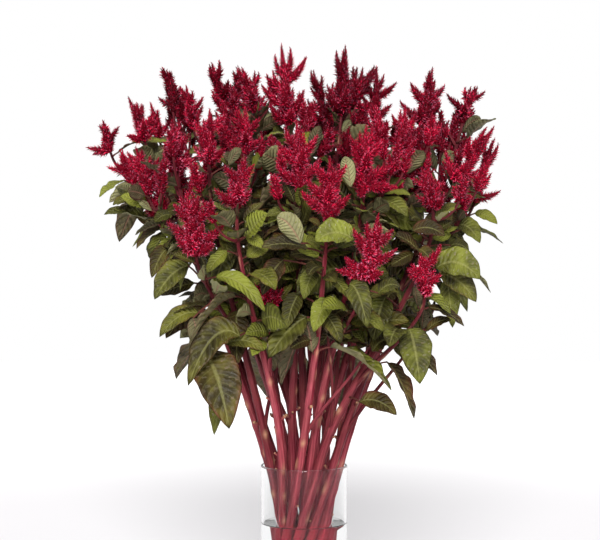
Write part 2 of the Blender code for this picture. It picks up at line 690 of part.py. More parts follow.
def add_side_spike(space, head, owner, base, girth, offset):
    """Grow one side spike, longer or shorter and thinner than asked where it would cross something."""
    rings = LONG_RINGS if np.linalg.norm(offset) > LONG_SPIKE else SHORT_RINGS
    for stretch, thin in SPIKE_TRIES:
        facet, points = head.grow_spike(base + offset * stretch, girth * thin, rings)
        piece = head.free_part(facet, points)
        if space.is_hit(swell(*piece, CLEARANCE), piece[1]):
            continue
        head.keep_spike(facet, points)
        if crosses_itself(*head.skin()):
            head.drop_spike()
            continue
        space.add(owner, *piece)
        return


def stalk_root(routes, base):
    """Nearest place on any stem for a blade's base: the stem's name and a length along it."""
    best = None
    aim = base - np.array((0.0, 0.0, STALK_DROP))
    for name, route in routes.items():
        far = np.linalg.norm(route.points - aim, axis=1)
        far[route.points[:, 2] < LOWEST_STALK] = math.inf
        spot = int(far.argmin())
        if best is None or far[spot] < best[0]:
            best = (far[spot], name, route.run[spot])
    return best[1:]


def try_leaf(space, leaf, name):
    """Keep the leaf if it is clear of everything but its own stem at its stalk."""
    whole, blade = leaf_mesh(leaf, CLEARANCE), leaf_mesh(leaf, CLEARANCE, stalk=False)
    if crosses_itself(*whole) or space.is_hit(*whole, skip="stem_" + name) or space.is_hit(*blade):
        return False
    space.add("leaf", *leaf_mesh(leaf))
    return True


def plan_leaves(space, routes, draw):
    """The leaves seen from the front, each moved a little until it is clear of the rest."""
    leaves = {name: [] for name in routes}
    for base, tip, width, arch in FRONT_LEAVES:
        base, tip = np.array(base, float), np.array(tip, float)
        name, length = stalk_root(routes, base)
        root = routes[name].heart(length)
        for attempt in range(FRONT_TRIES):
            shift = attempt * np.array([draw.uniform(*step) for step in FRONT_STEP])
            size = 1.0 - FRONT_SHRINK * attempt
            end = base + shift + (tip - base) * size
            leaf = Leaf(root, base + shift, end, width * size, arch, draw.uniform(*FRONT_ROLL),
                        draw.uniform(*FRONT_FOLD), width * FRONT_WAVE)
            if try_leaf(space, leaf, name):
                leaves[name].append(leaf)
                break
    return leaves


def outwardness(route, length):
    """How near the outside of the bunch a place on a stem is: 0 at its axis, about 1 outside."""
    place = route.at(length)
    spread = VASE_RADIUS + (place[2] - VASE_HEIGHT) * BUNCH_SPREAD
    return math.hypot(place[0], place[1]) / spread


def leaf_nodes(routes, draw):
    """The nodes of every stem and shoot, a golden turn apart, roughly from the outside inwards."""
    nodes = []
    for name, route in routes.items():
        start = route.at_height(max(FOLIAGE_FLOOR, route.points[0][2] + BARE_FOOT))
        stop = route.run[-1] - BARE_TOP
        turn = draw.uniform(0, math.tau)
        length = start + draw.uniform(0, FIRST_NODE)
        while length < stop:
            nodes.append((name, length, turn))
            length += NODE_PITCH * draw.uniform(*PITCH_SPREAD)
            turn += PHYLLOTAXY
    nodes.sort(key=lambda node: draw.uniform(0.0, OUTER_FIRST) - outwardness(routes[node[0]], node[1]))
    return nodes


def draw_leaf(route, length, turn, attempt, draw):
    """One try at a leaf of a node: it turns further and grows smaller with each attempt."""
    root, radius = route.heart(length), route.radius(length)
    near_top = smooth_step(route.run[-1] - NEAR_TOP, route.run[-1], length)
    out = unit((root[0], root[1] + 1.0, 0.0))
    angle = turn + draw.uniform(-1, 1) * TURN_STEP * attempt
    way = np.array((math.cos(angle), math.sin(angle), 0.0))
    way = unit(way + out * (MORE_OUTWARD if attempt > PATIENCE else OUTWARD))
    size = draw.uniform(*NODE_LENGTH) * (1.0 - TOP_SHRINK * near_top) * (1.0 - NODE_SHRINK * attempt)
    rise = math.radians(draw.uniform(*NODE_SLOPE) + TOP_LIFT * near_top)
    base = root + way * (radius + draw.uniform(*NODE_STALK)) + np.array((0.0, 0.0, NODE_LIFT))
    end = base + size * (way * math.cos(rise) + np.array((0.0, 0.0, math.sin(rise))))
    return Leaf(root, base, end, size * draw.uniform(*NODE_WIDTH), size * draw.uniform(*NODE_ARCH),
                draw.uniform(*NODE_ROLL), draw.uniform(*NODE_FOLD), size * NODE_WAVE)


def grow_leaves(space, routes, leaves, draw):
    """Leaves up every stem and branch, one node after another, until the bunch has them all."""
    count = sum(len(kept) for kept in leaves.values())
    for name, length, turn in leaf_nodes(routes, draw):
        if count >= MOST_LEAVES:
            break
        for attempt in range(NODE_TRIES):
            leaf = draw_leaf(routes[name], length, turn, attempt, draw)
            if try_leaf(space, leaf, name):
                leaves[name].append(leaf)
                count += 1
                break


def material(name, colour, roughness, metallic=0.0, transmission=0.0, ior=1.45):
    """A plain Principled material."""
    made = bpy.data.materials.new(name)
    made.use_nodes = True
    shader = made.node_tree.nodes["Principled BSDF"]
    shader.inputs["Base Color"].default_value = (*colour, 1.0)
    shader.inputs["Roughness"].default_value = roughness
    shader.inputs["Metallic"].default_value = metallic
    shader.inputs["Transmission Weight"].default_value = transmission
    shader.inputs["IOR"].default_value = ior
    return made


def make_object(name, points, faces, surface):
    """A mesh object in metres from points in millimetres."""
    mesh = bpy.data.meshes.new(name)
    mesh.from_pydata((np.asarray(points) * MM).tolist(), [], [list(face) for face in faces])
    mesh.materials.append(surface)
    mesh.validate()
    made = bpy.data.objects.new(name, mesh)
    bpy.context.scene.collection.objects.link(made)
    return made


def is_closed(mesh):
    """Whether every edge of a mesh has exactly two faces."""
    body = bmesh.new()
    body.from_mesh(mesh)
    closed = all(len(edge.link_faces) == 2 for edge in body.edges)
    body.free()
    return closed


def join(base, parts, operation="UNION"):
    """Join or cut a body with all the parts at once, then remove them."""
    group = bpy.data.collections.new(base.name + "_parts")
    bpy.context.scene.collection.children.link(group)
    for part in parts:
        bpy.context.scene.collection.objects.unlink(part)
        group.objects.link(part)
    boolean = base.modifiers.new("join", "BOOLEAN")
    boolean.operation = operation
    boolean.operand_type = "COLLECTION"
    boolean.collection = group
    for solver in ("EXACT", "MANIFOLD"):
        boolean.solver = solver
        bpy.context.view_layer.update()
        shaped = base.evaluated_get(bpy.context.evaluated_depsgraph_get())
        mesh = bpy.data.meshes.new_from_object(shaped)
        if is_closed(mesh):
            break
    base.modifiers.clear()
    base.data = mesh
    for part in parts:
        bpy.data.objects.remove(part)
    bpy.data.collections.remove(group)
    return base


def turned(profile, sides):
    """Closed body turned from a profile of (radius, height) pairs that starts and ends on the axis."""
    points, faces, rings = [], [], []
    for radius, height in profile:
        if radius == 0.0:
            rings.append([len(points)])
            points.append((0.0, 0.0, height))
            continue
        rings.append(list(range(len(points), len(points) + sides)))
        points += [(radius * math.cos(k * math.tau / sides), radius * math.sin(k * math.tau / sides), height)
                   for k in range(sides)]
    for low, high in zip(rings, rings[1:]):
        for k in range(sides):
            n = (k + 1) % sides
            if len(low) == 1:
                faces.append((low[0], high[n], high[k]))
            elif len(high) == 1:
                faces.append((low[k], low[n], high[0]))
            else:
                faces.append((low[k], low[n], high[n], high[k]))
    return points, faces


def vase_profile():
    """Plain straight cylinder of glass with a thick flat base and an eased rim."""
    inner = VASE_RADIUS - VASE_WALL
    return ((0.0, 0.0), (VASE_RADIUS - VASE_EDGE, 0.0), (VASE_RADIUS, VASE_EDGE),
            (VASE_RADIUS, VASE_HEIGHT - VASE_EDGE), (VASE_RADIUS - VASE_WALL / 2, VASE_HEIGHT),
            (inner, VASE_HEIGHT - VASE_EDGE), (inner, VASE_BASE), (0.0, VASE_BASE))


def build_vase(glass):
    """The cylinder vase."""
    return make_object("vase", *turned(vase_profile(), VASE_SIDES), glass)


def build_water(liquid, routes):
    """Water with a hole round each stem that stands in it."""
    radius = VASE_RADIUS - VASE_WALL - GAP
    low = VASE_BASE + GAP
    water = make_object("water", *turned(((0.0, low), (radius, low), (radius, WATER_LEVEL),
                                          (0.0, WATER_LEVEL)), VASE_SIDES), liquid)
    cutters = []
    for name, route in routes.items():
        foot, rim = route.points[0], route.points[1]
        way = (rim - foot) / (rim[2] - foot[2])
        ends = [foot + way * rise for rise in (-HOLE_REACH, RIM_HEIGHT - VASE_BASE)]
        hole = Route(ends, (STEM_FOOT_RADIUS + HOLE_EASE, STEM_RIM_RADIUS + HOLE_EASE))
        hole.place_rings((0.0, hole.run[-1]))
        cutters.append(make_object("hole_" + name, *tube(hole, STEM_SIDES, True), liquid))
    return join(water, cutters, "DIFFERENCE")


def build_stems(routes, parents, bodies, leaves, green):
    """Each main stem joined with its side shoots and with all their leaves."""
    for name in (name for name in routes if name not in parents):
        shoots = [side for side, parent in parents.items() if parent == name]
        stem = make_object("stem_" + name, *bodies[name], green)
        grown = [make_object("shoot", *bodies[side], green) for side in shoots]
        grown += [make_object("leaf", *leaf_mesh(leaf), green) for side in (name, *shoots)
                  for leaf in leaves[side]]
        join(stem, grown)


def main():
    """Build the vase, the water, the stems with their leaves, and the heads."""
    for thing in list(bpy.data.objects):
        bpy.data.objects.remove(thing)
    glass = material("glass", (0.92, 0.96, 0.95), 0.02, transmission=1.0, ior=1.5)
    liquid = material("water", (0.86, 0.90, 0.88), 0.0, transmission=1.0, ior=1.33)
    flower = material("flower", (0.42, 0.01, 0.045), 0.75)
    green = material("stem_and_leaf", (0.13, 0.17, 0.05), 0.55)

    mains = {head[0]: main_route(head) for head in MAIN_HEADS}
    parents = {head[0]: head[1] for head in SIDE_HEADS}
    branches = {head[0]: branch_route(mains[head[1]], head) for head in SIDE_HEADS}
    routes = {**mains, **branches}
    bodies = {name: tube(route, STEM_SIDES, True) for name, route in mains.items()}
    bodies.update({name: tube(route, BRANCH_SIDES) for name, route in branches.items()})

    space = Space()
    points, faces = turned(vase_profile(), VASE_SIDES)
    space.add("vase", np.array(points), faces)
    for name, body in bodies.items():
        space.add("stem_" + name, *body)
    heads = plan_heads(space)
    draw = random.Random(SEED)
    leaves = plan_leaves(space, routes, draw)
    grow_leaves(space, routes, leaves, draw)

    build_vase(glass)
    build_water(liquid, mains)
    build_stems(routes, parents, bodies, leaves, green)
    for name, head in heads.items():
        make_object("head_" + name, *head.skin(), flower)


main()
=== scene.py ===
# %% [markdown]
# # A bunch of wheat celosia in a glass vase
# Wheat celosia is a cut flower with feathery crimson spikes on ribbed crimson stalks. This lesson
# dresses a plain solid model of a bunch of nineteen stems. The solids are loaded first and are never
# moved: each is replaced by a finer surface that keeps its place and its form.

# %% Load the solid model
import math
import random

import bpy
import numpy as np
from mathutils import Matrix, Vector
from mathutils.bvhtree import BVHTree


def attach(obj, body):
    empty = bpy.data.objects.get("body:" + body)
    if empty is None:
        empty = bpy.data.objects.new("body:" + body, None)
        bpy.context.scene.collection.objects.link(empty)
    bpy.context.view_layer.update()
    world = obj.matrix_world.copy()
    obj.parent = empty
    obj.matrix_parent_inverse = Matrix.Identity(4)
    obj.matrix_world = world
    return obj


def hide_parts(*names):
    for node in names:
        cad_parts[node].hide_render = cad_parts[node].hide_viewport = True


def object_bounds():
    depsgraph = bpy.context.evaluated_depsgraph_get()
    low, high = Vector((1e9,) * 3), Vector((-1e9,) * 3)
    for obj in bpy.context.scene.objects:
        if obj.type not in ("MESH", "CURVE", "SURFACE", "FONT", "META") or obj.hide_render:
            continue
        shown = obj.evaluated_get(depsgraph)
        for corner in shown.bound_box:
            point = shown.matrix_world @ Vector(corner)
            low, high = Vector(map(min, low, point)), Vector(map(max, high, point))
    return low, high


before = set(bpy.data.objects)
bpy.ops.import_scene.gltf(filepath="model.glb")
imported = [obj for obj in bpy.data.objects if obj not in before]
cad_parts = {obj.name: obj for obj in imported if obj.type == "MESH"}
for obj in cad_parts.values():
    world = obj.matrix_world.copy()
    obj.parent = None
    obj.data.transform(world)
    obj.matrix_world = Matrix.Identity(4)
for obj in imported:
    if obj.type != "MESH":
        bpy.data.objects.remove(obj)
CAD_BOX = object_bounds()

print("solids loaded:", len(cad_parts))

# %% [markdown]
# ## Sizes
# The bunch is written in millimetres, because flower parts are small, and turned into metres when a
# mesh is made. The sizes are those of the solid model, repeated here, so that every fine surface lies
# where its solid lies.

# %% Sizes of the vase, the stems and the leaves
MM = 0.001
GAP = 0.3
SEED = 7149
VASE_RADIUS, VASE_HEIGHT, VASE_WALL, VASE_BASE = 50.0, 200.0, 3.0, 8.0
WATER_LEVEL = 132.0
WAIST_HEIGHT, WAIST_RADIUS, LEAN, RIM_HEIGHT = 95.0, 24.0, 0.318, 206.0
OUTER_TURN, INNER_TURN = math.radians(-92.0), math.radians(-66.0)
STEM_FOOT_RADIUS, STEM_RIM_RADIUS, STEM_TOP_RADIUS = 5.2, 4.9, 2.9
BRANCH_FOOT_RADIUS, BRANCH_TOP_RADIUS = 2.9, 2.3
STEM_RINGS, BRANCH_RING_PITCH = 9, 28.0
NODE_PITCH, FOLIAGE_FLOOR, PHYLLOTAXY = 30.0, 310.0, math.radians(137.5)
SIDE_GIRTH, SWELL = 0.64, 0.28
SPIKE_TRIES = ((1.0, 1.0), (0.94, 0.9), (1.08, 0.9), (1.15, 0.8), (0.86, 0.8), (0.75, 0.75), (0.62, 0.7),
               (0.5, 0.7))
MOST_LEAVES, OUTER_FIRST, BUNCH_SPREAD = 116, 0.45, 0.36
UP, FRONT = np.array((0.0, 0.0, 1.0)), np.array((0.0, -1.0, 0.0))
ASKEW = (0.31, 0.93, 0.17)  # a direction that no stem follows
print("vase:", 2 * VASE_RADIUS, "mm across and", VASE_HEIGHT, "mm high")

# %% [markdown]
# ## Where the heads and leaves are
# Each flower head was placed from the front, and given a depth that makes a round bunch. A row
# gives a head's name, its stem's place in the vase, its base, its tip, its girth, and the tips of the
# shorter spikes that crowd its base. Side heads grow on shoots that fork from a main stem.

# %% Main flower heads
MAIN_HEADS = (
    ("right_low", "outer", 0, (172, -10, 524), (217, -14, 591), 9.5,
     ((14, -18, 47), (-9, 16, 40), (28, 10, 16), (2, -22, 14), (-14, -6, 26))),
    ("right_high", "outer", 1, (186, 66, 594), (196, 70, 638), 8.5,
     ((-18, -8, 32), (24, 4, 33), (2, -20, 22), (6, 20, 24))),
    ("back_right", "outer", 2, (84, 96, 598), (86, 98, 663), 9.0,
     ((24, -10, 42), (-14, -4, 44), (4, 22, 34), (-2, -20, 22), (18, 12, 18))),
    ("back_mid", "outer", 3, (32, 160, 588), (36, 168, 646), 9.0,
     ((20, 6, 36), (-20, 4, 32), (4, 24, 24), (-4, -20, 26), (22, -8, 12))),
    ("back_left", "outer", 4, (-62, 156, 590), (-70, 162, 650), 9.0,
     ((18, 8, 34), (-22, 2, 34), (0, 24, 26), (4, -20, 22), (-16, 16, 12))),
    ("left_high", "outer", 5, (-150, 96, 602), (-163, 98, 659), 8.5,
     ((-8, -16, 38), (10, 4, 30), (-22, 14, 22), (2, 22, 20), (16, -14, 12))),
    ("left_wing", "outer", 6, (-186, 52, 572), (-206, 54, 626), 8.5,
     ((-26, 4, 26), (-20, -14, 8), (8, 12, 34), (0, -20, 26))),
    ("left_inner", "outer", 7, (-143, -48, 540), (-149, -50, 599), 9.5,
     ((-20, 6, 38), (14, -6, 42), (-12, -18, 22), (12, 16, 22), (4, -22, 12), (22, 6, 14))),
    ("left_front", "outer", 8, (-106, -74, 547), (-105, -76, 610), 9.5,
     ((-16, -10, 48), (16, 2, 50), (-16, 14, 20), (4, -24, 24), (18, -14, 18))),
    ("front_left", "outer", 9, (-73, -126, 499), (-67, -129, 556), 9.0,
     ((-14, -12, 48), (16, -8, 42), (-25, -8, 22), (2, -20, 26), (20, 4, 20), (-6, 16, 30))),
    ("front_mid", "outer", 10, (25, -136, 484), (28, -139, 556), 10.5,
     ((-23, -6, 48), (18, -8, 55), (-29, 2, 35), (23, -10, 29), (2, -22, 38), (-8, -20, 16),
      (12, 16, 40), (-12, -14, 60))),
    ("front_right", "outer", 11, (143, -82, 498), (138, -84, 540), 8.5,
     ((12, -6, 30), (-20, -4, 31), (-13, -16, 11), (10, -20, 10), (4, 18, 20))),
    ("right_inner", "inner", 0, (136, 14, 588), (148, 14, 659), 10.0,
     ((27, 6, 50), (-14, -6, 53), (-26, 4, 32), (18, -16, 25), (-4, -22, 24), (2, 22, 26))),
    ("tall_right", "inner", 1, (43, 42, 602), (48, 44, 686), 10.0,
     ((-4, -14, 68), (-11, 6, 46), (18, -4, 42), (-14, -18, 24), (6, -22, 30), (8, 22, 34))),
    ("left_tall", "inner", 2, (-92, 60, 612), (-108, 62, 666), 10.0,
     ((-16, 10, 24), (17, -4, 20), (4, -20, 32), (0, 22, 24), (-12, -18, 14))),
    ("left_centre", "inner", 3, (-66, -26, 558), (-67, -27, 612), 9.5,
     ((-16, -6, 38), (14, -4, 36), (0, -22, 24), (-14, 16, 18), (14, 16, 16))),
    ("front_centre", "inner", 4, (-5, -82, 516), (-9, -84, 598), 10.5,
     ((-24, -6, 56), (20, -4, 64), (-26, -10, 32), (24, -8, 38), (4, -24, 50), (-8, -24, 24),
      (10, 20, 48))),
    ("centre_right", "inner", 5, (66, -80, 519), (69, -82, 592), 10.5,
     ((-14, -10, 55), (22, 0, 57), (-17, -10, 28), (30, -4, 27), (4, -24, 40), (-4, -28, -8),
      (38, -12, 2), (8, 20, 40))),
    ("tall_left", "centre", 0, (-18, 0, 588), (-26, 0, 685), 10.5,
     ((21, -6, 82), (22, 4, 66), (-31, -2, 50), (-17, 8, 52), (18, -12, 44), (-6, -22, 48),
      (4, -20, 22), (-2, 22, 40), (-20, -12, 24))),
)
print("main heads:", len(MAIN_HEADS))

# %% Side heads, each with the stem that it forks from and the height of the fork
SIDE_HEADS = (
    ("right_hip", "right_low", 420, (176, -48, 490), (176, -50, 524), 7.5,
     ((9, -8, 20), (-10, -8, 16), (0, 14, 14))),
    ("right_edge", "right_low", 390, (198, 30, 502), (222, 32, 578), 8.5,
     ((30, -6, 14), (8, -16, 42), (18, 14, 30), (-12, -8, 24))),
    ("right_bud", "right_high", 500, (160, 58, 560), (163, 58, 593), 6.5,
     ((10, -4, 22), (-10, -8, 16))),
    ("back_right_low", "back_right", 470, (124, 124, 562), (132, 130, 612), 8.0,
     ((16, 4, 28), (-14, 10, 28), (4, -16, 20), (4, 18, 12))),
    ("back_low", "back_left", 450, (-16, 168, 545), (-18, 176, 594), 8.0,
     ((16, 2, 28), (-16, 4, 26), (0, 20, 16))),
    ("back_right_mid", "back_mid", 460, (86, 156, 548), (96, 164, 596), 8.0,
     ((16, 2, 26), (-12, 12, 26), (2, -16, 18))),
    ("left_top", "left_high", 490, (-172, 114, 572), (-184, 116, 621), 8.0,
     ((-10, -10, 34), (10, 12, 26), (-14, 10, 18))),
    ("left_edge", "left_wing", 450, (-223, 18, 560), (-232, 16, 598), 7.5,
     ((-28, -4, 6), (-20, 4, -2), (9, -8, 26), (-14, -8, 28))),
    ("left_hip", "left_wing", 420, (-194, 2, 519), (-209, 2, 564), 7.5,
     ((-32, 0, 25), (-23, -10, 30), (12, -8, 30), (0, 16, 22))),
    ("left_low", "left_inner", 430, (-176, -46, 512), (-190, -46, 568), 8.5,
     ((-20, -4, 43), (13, -4, 42), (-16, -12, 28), (6, -18, 22), (14, -8, 12), (-4, 16, 24))),
    ("left_ball", "left_front", 330, (-118, -130, 447), (-128, -132, 519), 11.0,
     ((3, -10, 62), (28, -4, 32), (-32, -2, 38), (-22, -6, 54), (17, -8, 52), (-18, -16, 18),
      (8, -24, 34), (-8, -24, 22), (20, -12, 14), (2, 20, 34))),
    ("low_dark", "front_left", 300, (-38, -104, 391), (-47, -106, 433), 8.5,
     ((-17, -4, 22), (10, -6, 26), (-4, -18, 16), (12, -8, 8), (-14, -10, 4))),
    ("front_ball", "centre_right", 320, (66, -150, 422), (80, -153, 495), 11.0,
     ((28, -6, 52), (-12, -6, 52), (-22, -8, 26), (30, -8, 30), (4, -24, 44), (-6, -26, 18),
      (18, -18, 10), (-28, 0, 10), (4, 18, 34))),
    ("right_ball", "front_right", 290, (132, -112, 404), (127, -114, 450), 9.5,
     ((18, -6, 56), (-18, -6, 27), (16, -8, 22), (0, -22, 28), (-12, -14, 10), (6, -18, 8))),
    ("right_mid", "right_inner", 450, (112, -26, 552), (115, -28, 614), 8.5,
     ((-12, -4, 48), (13, -4, 48), (-8, -16, 26), (14, -12, 22), (2, 16, 24))),
    ("centre_mid", "centre_right", 440, (90, -36, 552), (80, -38, 615), 8.5,
     ((-14, 4, 40), (-10, -12, 26), (4, -14, 40), (-4, 16, 26))),
    ("centre_top", "tall_right", 520, (26, 84, 600), (11, 86, 658), 8.0,
     ((-8, -8, 33), (12, 10, 30), (-4, 18, 18))),
    ("left_spire", "left_tall", 520, (-56, 22, 606), (-77, 22, 660), 8.0,
     ((0, -6, 34), (-20, 4, 12), (-6, -16, 26), (4, 14, 18))),
    ("left_shoulder", "left_tall", 500, (-128, 38, 586), (-137, 38, 639), 8.5,
     ((-20, -4, 25), (10, -6, 34), (-4, -18, 22), (-4, 16, 18))),
)
print("side heads:", len(SIDE_HEADS))

# %% Leaves seen from the front: blade base, blade tip, width, arch
FRONT_LEAVES = (
    ((-109, -112, 336), (-82, -136, 258), 50, 16),
    ((-70, -122, 356), (-130, -132, 298), 38, 26),
    ((55, -152, 466), (12, -162, 464), 32, 9),
    ((41, -140, 424), (66, -156, 362), 35, 12),
    ((116, -112, 366), (127, -124, 306), 36, 8),
    ((-57, -124, 505), (-42, -136, 450), 28, 8),
    ((-96, -130, 424), (-42, -142, 386), 20, 12),
    ((146, -92, 432), (194, -102, 420), 24, 12),
    ((152, -76, 424), (191, -90, 394), 22, 8),
    ((-129, -82, 434), (-166, -92, 397), 30, 8),
    ((-132, -106, 412), (-154, -116, 376), 23, 7),
    ((-118, -92, 382), (-160, -102, 356), 22, 9),
    ((-152, -66, 452), (-170, -76, 420), 20, 7),
    ((-200, 4, 525), (-231, 2, 499), 15, 8),
    ((-193, -20, 502), (-217, -30, 500), 12, 5),
    ((-150, -62, 490), (-167, -72, 482), 15, 3),
    ((-86, -112, 349), (-44, -122, 342), 18, 8),
    ((-122, -112, 378), (-114, -104, 330), 20, 6),
    ((52, -116, 523), (45, -124, 557), 16, 4),
    ((-4, -152, 462), (-30, -160, 490), 24, 7),
    ((80, -152, 408), (104, -152, 414), 16, 6),
    ((76, -94, 340), (98, -106, 352), 24, 6),
    ((62, -82, 282), (103, -92, 268), 22, 8),
    ((60, -66, 296), (48, -76, 336), 15, 4),
    ((136, -84, 362), (163, -92, 374), 12, 4),
    ((160, -62, 418), (166, -72, 364), 22, 6),
    ((174, -36, 478), (198, -52, 458), 18, 7),
    ((196, 0, 490), (221, -12, 478), 13, 4),
    ((164, -64, 456), (184, -72, 450), 14, 4),
    ((120, -104, 474), (155, -108, 468), 16, 6),
    ((104, -112, 446), (132, -122, 456), 16, 5),
    ((8, -24, 556), (18, -34, 590), 15, 4),
    ((-23, -122, 442), (-46, -132, 404), 24, 6),
    ((20, -112, 436), (4, -122, 396), 26, 6),
    ((90, -100, 400), (76, -112, 352), 28, 7),
    ((102, -92, 436), (116, -104, 396), 26, 6),
    ((-91, -92, 398), (-115, -102, 362), 28, 7),
    ((-80, -100, 454), (-99, -112, 412), 26, 7),
    ((-60, -100, 440), (-74, -112, 396), 26, 6),
    ((9, -100, 340), (2, -110, 374), 20, 5),
    ((-84, -64, 546), (-70, -74, 564), 12, 3),
    ((30, -118, 400), (12, -128, 362), 24, 6),
    ((-6, -112, 404), (-20, -124, 366), 22, 6),
    ((130, -88, 452), (148, -98, 428), 18, 5),
)
print("leaves placed by eye:", len(FRONT_LEAVES))

# %% [markdown]
# ## The line of a stem
# In the vase a cut stem is straight and leans, and all the stems twist round one narrow waist, as in
# any hand-tied bunch. Above the rim it bows outwards and turns up into its head. A cubic curve gives
# that bow from two ends and two directions, which is easier to steer than points along the way.

# %% Small helpers for directions and curves
def unit(vectors):
    """Each vector divided by its own length."""
    vectors = np.asarray(vectors, float)
    return vectors / np.linalg.norm(vectors, axis=-1, keepdims=True)


def smooth_step(low, high, value):
    """0 below low, 1 above high, and t*t*(3 - 2t) between."""
    t = np.clip((value - low) / (high - low), 0.0, 1.0)
    return t * t * (3.0 - 2.0 * t)


def hermite(start, start_way, end, end_way, t):
    """Points at t on the cubic from start to end that leaves and arrives along the two ways."""
    t = np.atleast_1d(t)[:, None]
    return ((2 * t**3 - 3 * t**2 + 1) * start + (t**3 - 2 * t**2 + t) * start_way
            + (3 * t**2 - 2 * t**3) * end + (t**3 - t**2) * end_way)


def bezier(start, pull, end, t):
    """Points at t on the quadratic from start to end pulled towards pull: (1-t)^2, 2t(1-t), t^2."""
    t = np.atleast_1d(t)[:, None]
    return (1 - t) ** 2 * start + 2 * t * (1 - t) * pull + t**2 * end


def placed_along(at, stations, points):
    """Points at distances along a line, straight between the points at its stations."""
    return np.stack([np.interp(at, stations, points[:, axis]) for axis in range(3)], -1)


def level_way(angle):
    """The level direction at an angle."""
    return np.array((math.cos(angle), math.sin(angle), 0.0))


def outwards_from(root):
    """The level direction to a place from just in front of the bunch's axis."""
    return unit((root[0], root[1] + 1.0, 0.0))


def rings_round(centres, radii, sides, ups, a):
    """Rings of points: centre + radius (cos a side + sin a up), one row to a ring."""
    ring = np.cos(a)[:, None] * sides[:, None] + np.sin(a)[:, None] * ups[:, None]
    return centres[:, None] + radii[..., None] * ring


# %% The route of a stem
class Route:
    """A stem's centre line, with its radius along the way."""

    def __init__(self, points, radii, rings):
        self.points, self.radii = points, radii
        steps = np.linalg.norm(np.diff(points, axis=0), axis=1)
        self.run = np.concatenate(((0.0,), np.cumsum(steps)))
        self.rings = rings(self.run)
        self.centres = self.at(self.rings)

    def at(self, length):
        """Points at lengths along the route, on straight lines between its points."""
        return placed_along(length, self.run, self.points)

    def heart(self, length):
        """Middle of the solid stem at a length, on straight lines between its rings."""
        return placed_along(length, self.rings, self.centres)

    def way(self, length):
        """Direction at a length."""
        return unit(self.at(length + 1.0) - self.at(length - 1.0))

    def radius(self, length):
        """Radius at a length."""
        return np.interp(length, self.run, self.radii)

    def at_height(self, height):
        """Length at which the route passes a height."""
        return float(np.interp(height, self.points[:, 2], self.run))


def waist_place(ring, slot):
    """Where a stem passes the waist: one in the middle, six round it, twelve outside."""
    if ring == "centre":
        return np.zeros(2)
    count, radius, turn = (12, WAIST_RADIUS, OUTER_TURN) if ring == "outer" else (
        6, WAIST_RADIUS / 2, INNER_TURN)
    angle = turn + slot * math.tau / count
    return radius * np.array((math.cos(angle), math.sin(angle)))


def bundle_point(waist, height):
    """A stem's centre at a height in the vase: it leans square to its own radius at the waist."""
    twist = LEAN / WAIST_RADIUS * (height - WAIST_HEIGHT)
    return np.array((waist[0] - twist * waist[1], waist[1] + twist * waist[0], height))


# %% The routes of all main stems and side shoots
def main_route(head):
    """Straight from the foot to the rim, then the cubic from the rim to the base of the head."""
    ring, slot, base, tip = head[1], head[2], np.array(head[3], float), np.array(head[4], float)
    waist = waist_place(ring, slot)
    foot, rim = bundle_point(waist, VASE_BASE + GAP), bundle_point(waist, RIM_HEIGHT)
    reach, axis = np.linalg.norm(base - rim), unit(tip - base)
    t = np.linspace(0.0, 1.0, 41)
    bow = hermite(rim, unit(rim - foot) * reach, base - axis * GAP, axis * reach * 0.7, t)
    radii = np.concatenate(((STEM_FOOT_RADIUS,), STEM_RIM_RADIUS + (STEM_TOP_RADIUS - STEM_RIM_RADIUS) * t))
    return Route(np.vstack((foot[None], bow)), radii,
                 lambda run: np.array([0.0, *np.linspace(run[1], run[-1], STEM_RINGS)]))


def branch_route(parent, head):
    """The cubic from a fork on the parent stem to the base of a side head."""
    base, tip = np.array(head[3], float), np.array(head[4], float)
    length = parent.at_height(head[2])
    start, axis = parent.heart(length), unit(tip - base)
    reach = np.linalg.norm(base - start)
    leave = unit(parent.way(length) + 0.9 * unit(base - start))
    t = np.linspace(0.0, 1.0, 25)
    points = hermite(start, leave * reach, base - axis * GAP, axis * reach * 0.7, t)
    return Route(points, BRANCH_FOOT_RADIUS + (BRANCH_TOP_RADIUS - BRANCH_FOOT_RADIUS) * t,
                 lambda run: np.linspace(0.0, run[-1], max(5, round(run[-1] / BRANCH_RING_PITCH))))


mains = {head[0]: main_route(head) for head in MAIN_HEADS}
parents = {head[0]: head[1] for head in SIDE_HEADS}
routes = {**mains, **{head[0]: branch_route(mains[head[1]], head) for head in SIDE_HEADS}}
families = {name: [name] + [side for side, parent in parents.items() if parent == name] for name in mains}
print("stems:", len(mains), "side shoots:", len(parents))

# %% [markdown]
# ## Reading the plan back from the solids
# The solid model tried its leaves and side spikes in many places and kept those that stood clear of
# everything. The same tries are made here in the same order, and a try counts when its tip is a corner
# of the solid. So every fine leaf lies on its solid leaf without copying any of its points.

# %% Look for a tip among a solid's corners
def corners_of(node):
    """The corner points of a solid, in millimetres."""
    found = np.zeros(3 * len(node.data.vertices), np.float32)
    node.data.vertices.foreach_get("co", found)
    return found.reshape(-1, 3).astype(float) / MM


CORNERS = {name: corners_of(node) for name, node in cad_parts.items()}
SAME_PLACE = 0.1  # mm, far less than the way between two tries


def is_corner(node, point):
    """Whether a point is a corner of a solid."""
    return np.abs(CORNERS[node] - point).max(axis=1).min() < SAME_PLACE


print("corners read:", sum(len(found) for found in CORNERS.values()))

# %% [markdown]
# ## The plan of a leaf
# A celosia leaf is a pointed oval on a short stalk. Its midrib arches, its two halves fold up a little
# from it, and its edges wave. Four points, a width and three angles say all of that, so the leaf can be
# drawn again at any fineness.

# %% A leaf's midrib, its directions and its outline
BASE_POWER, TIP_POWER = 0.68, 0.85


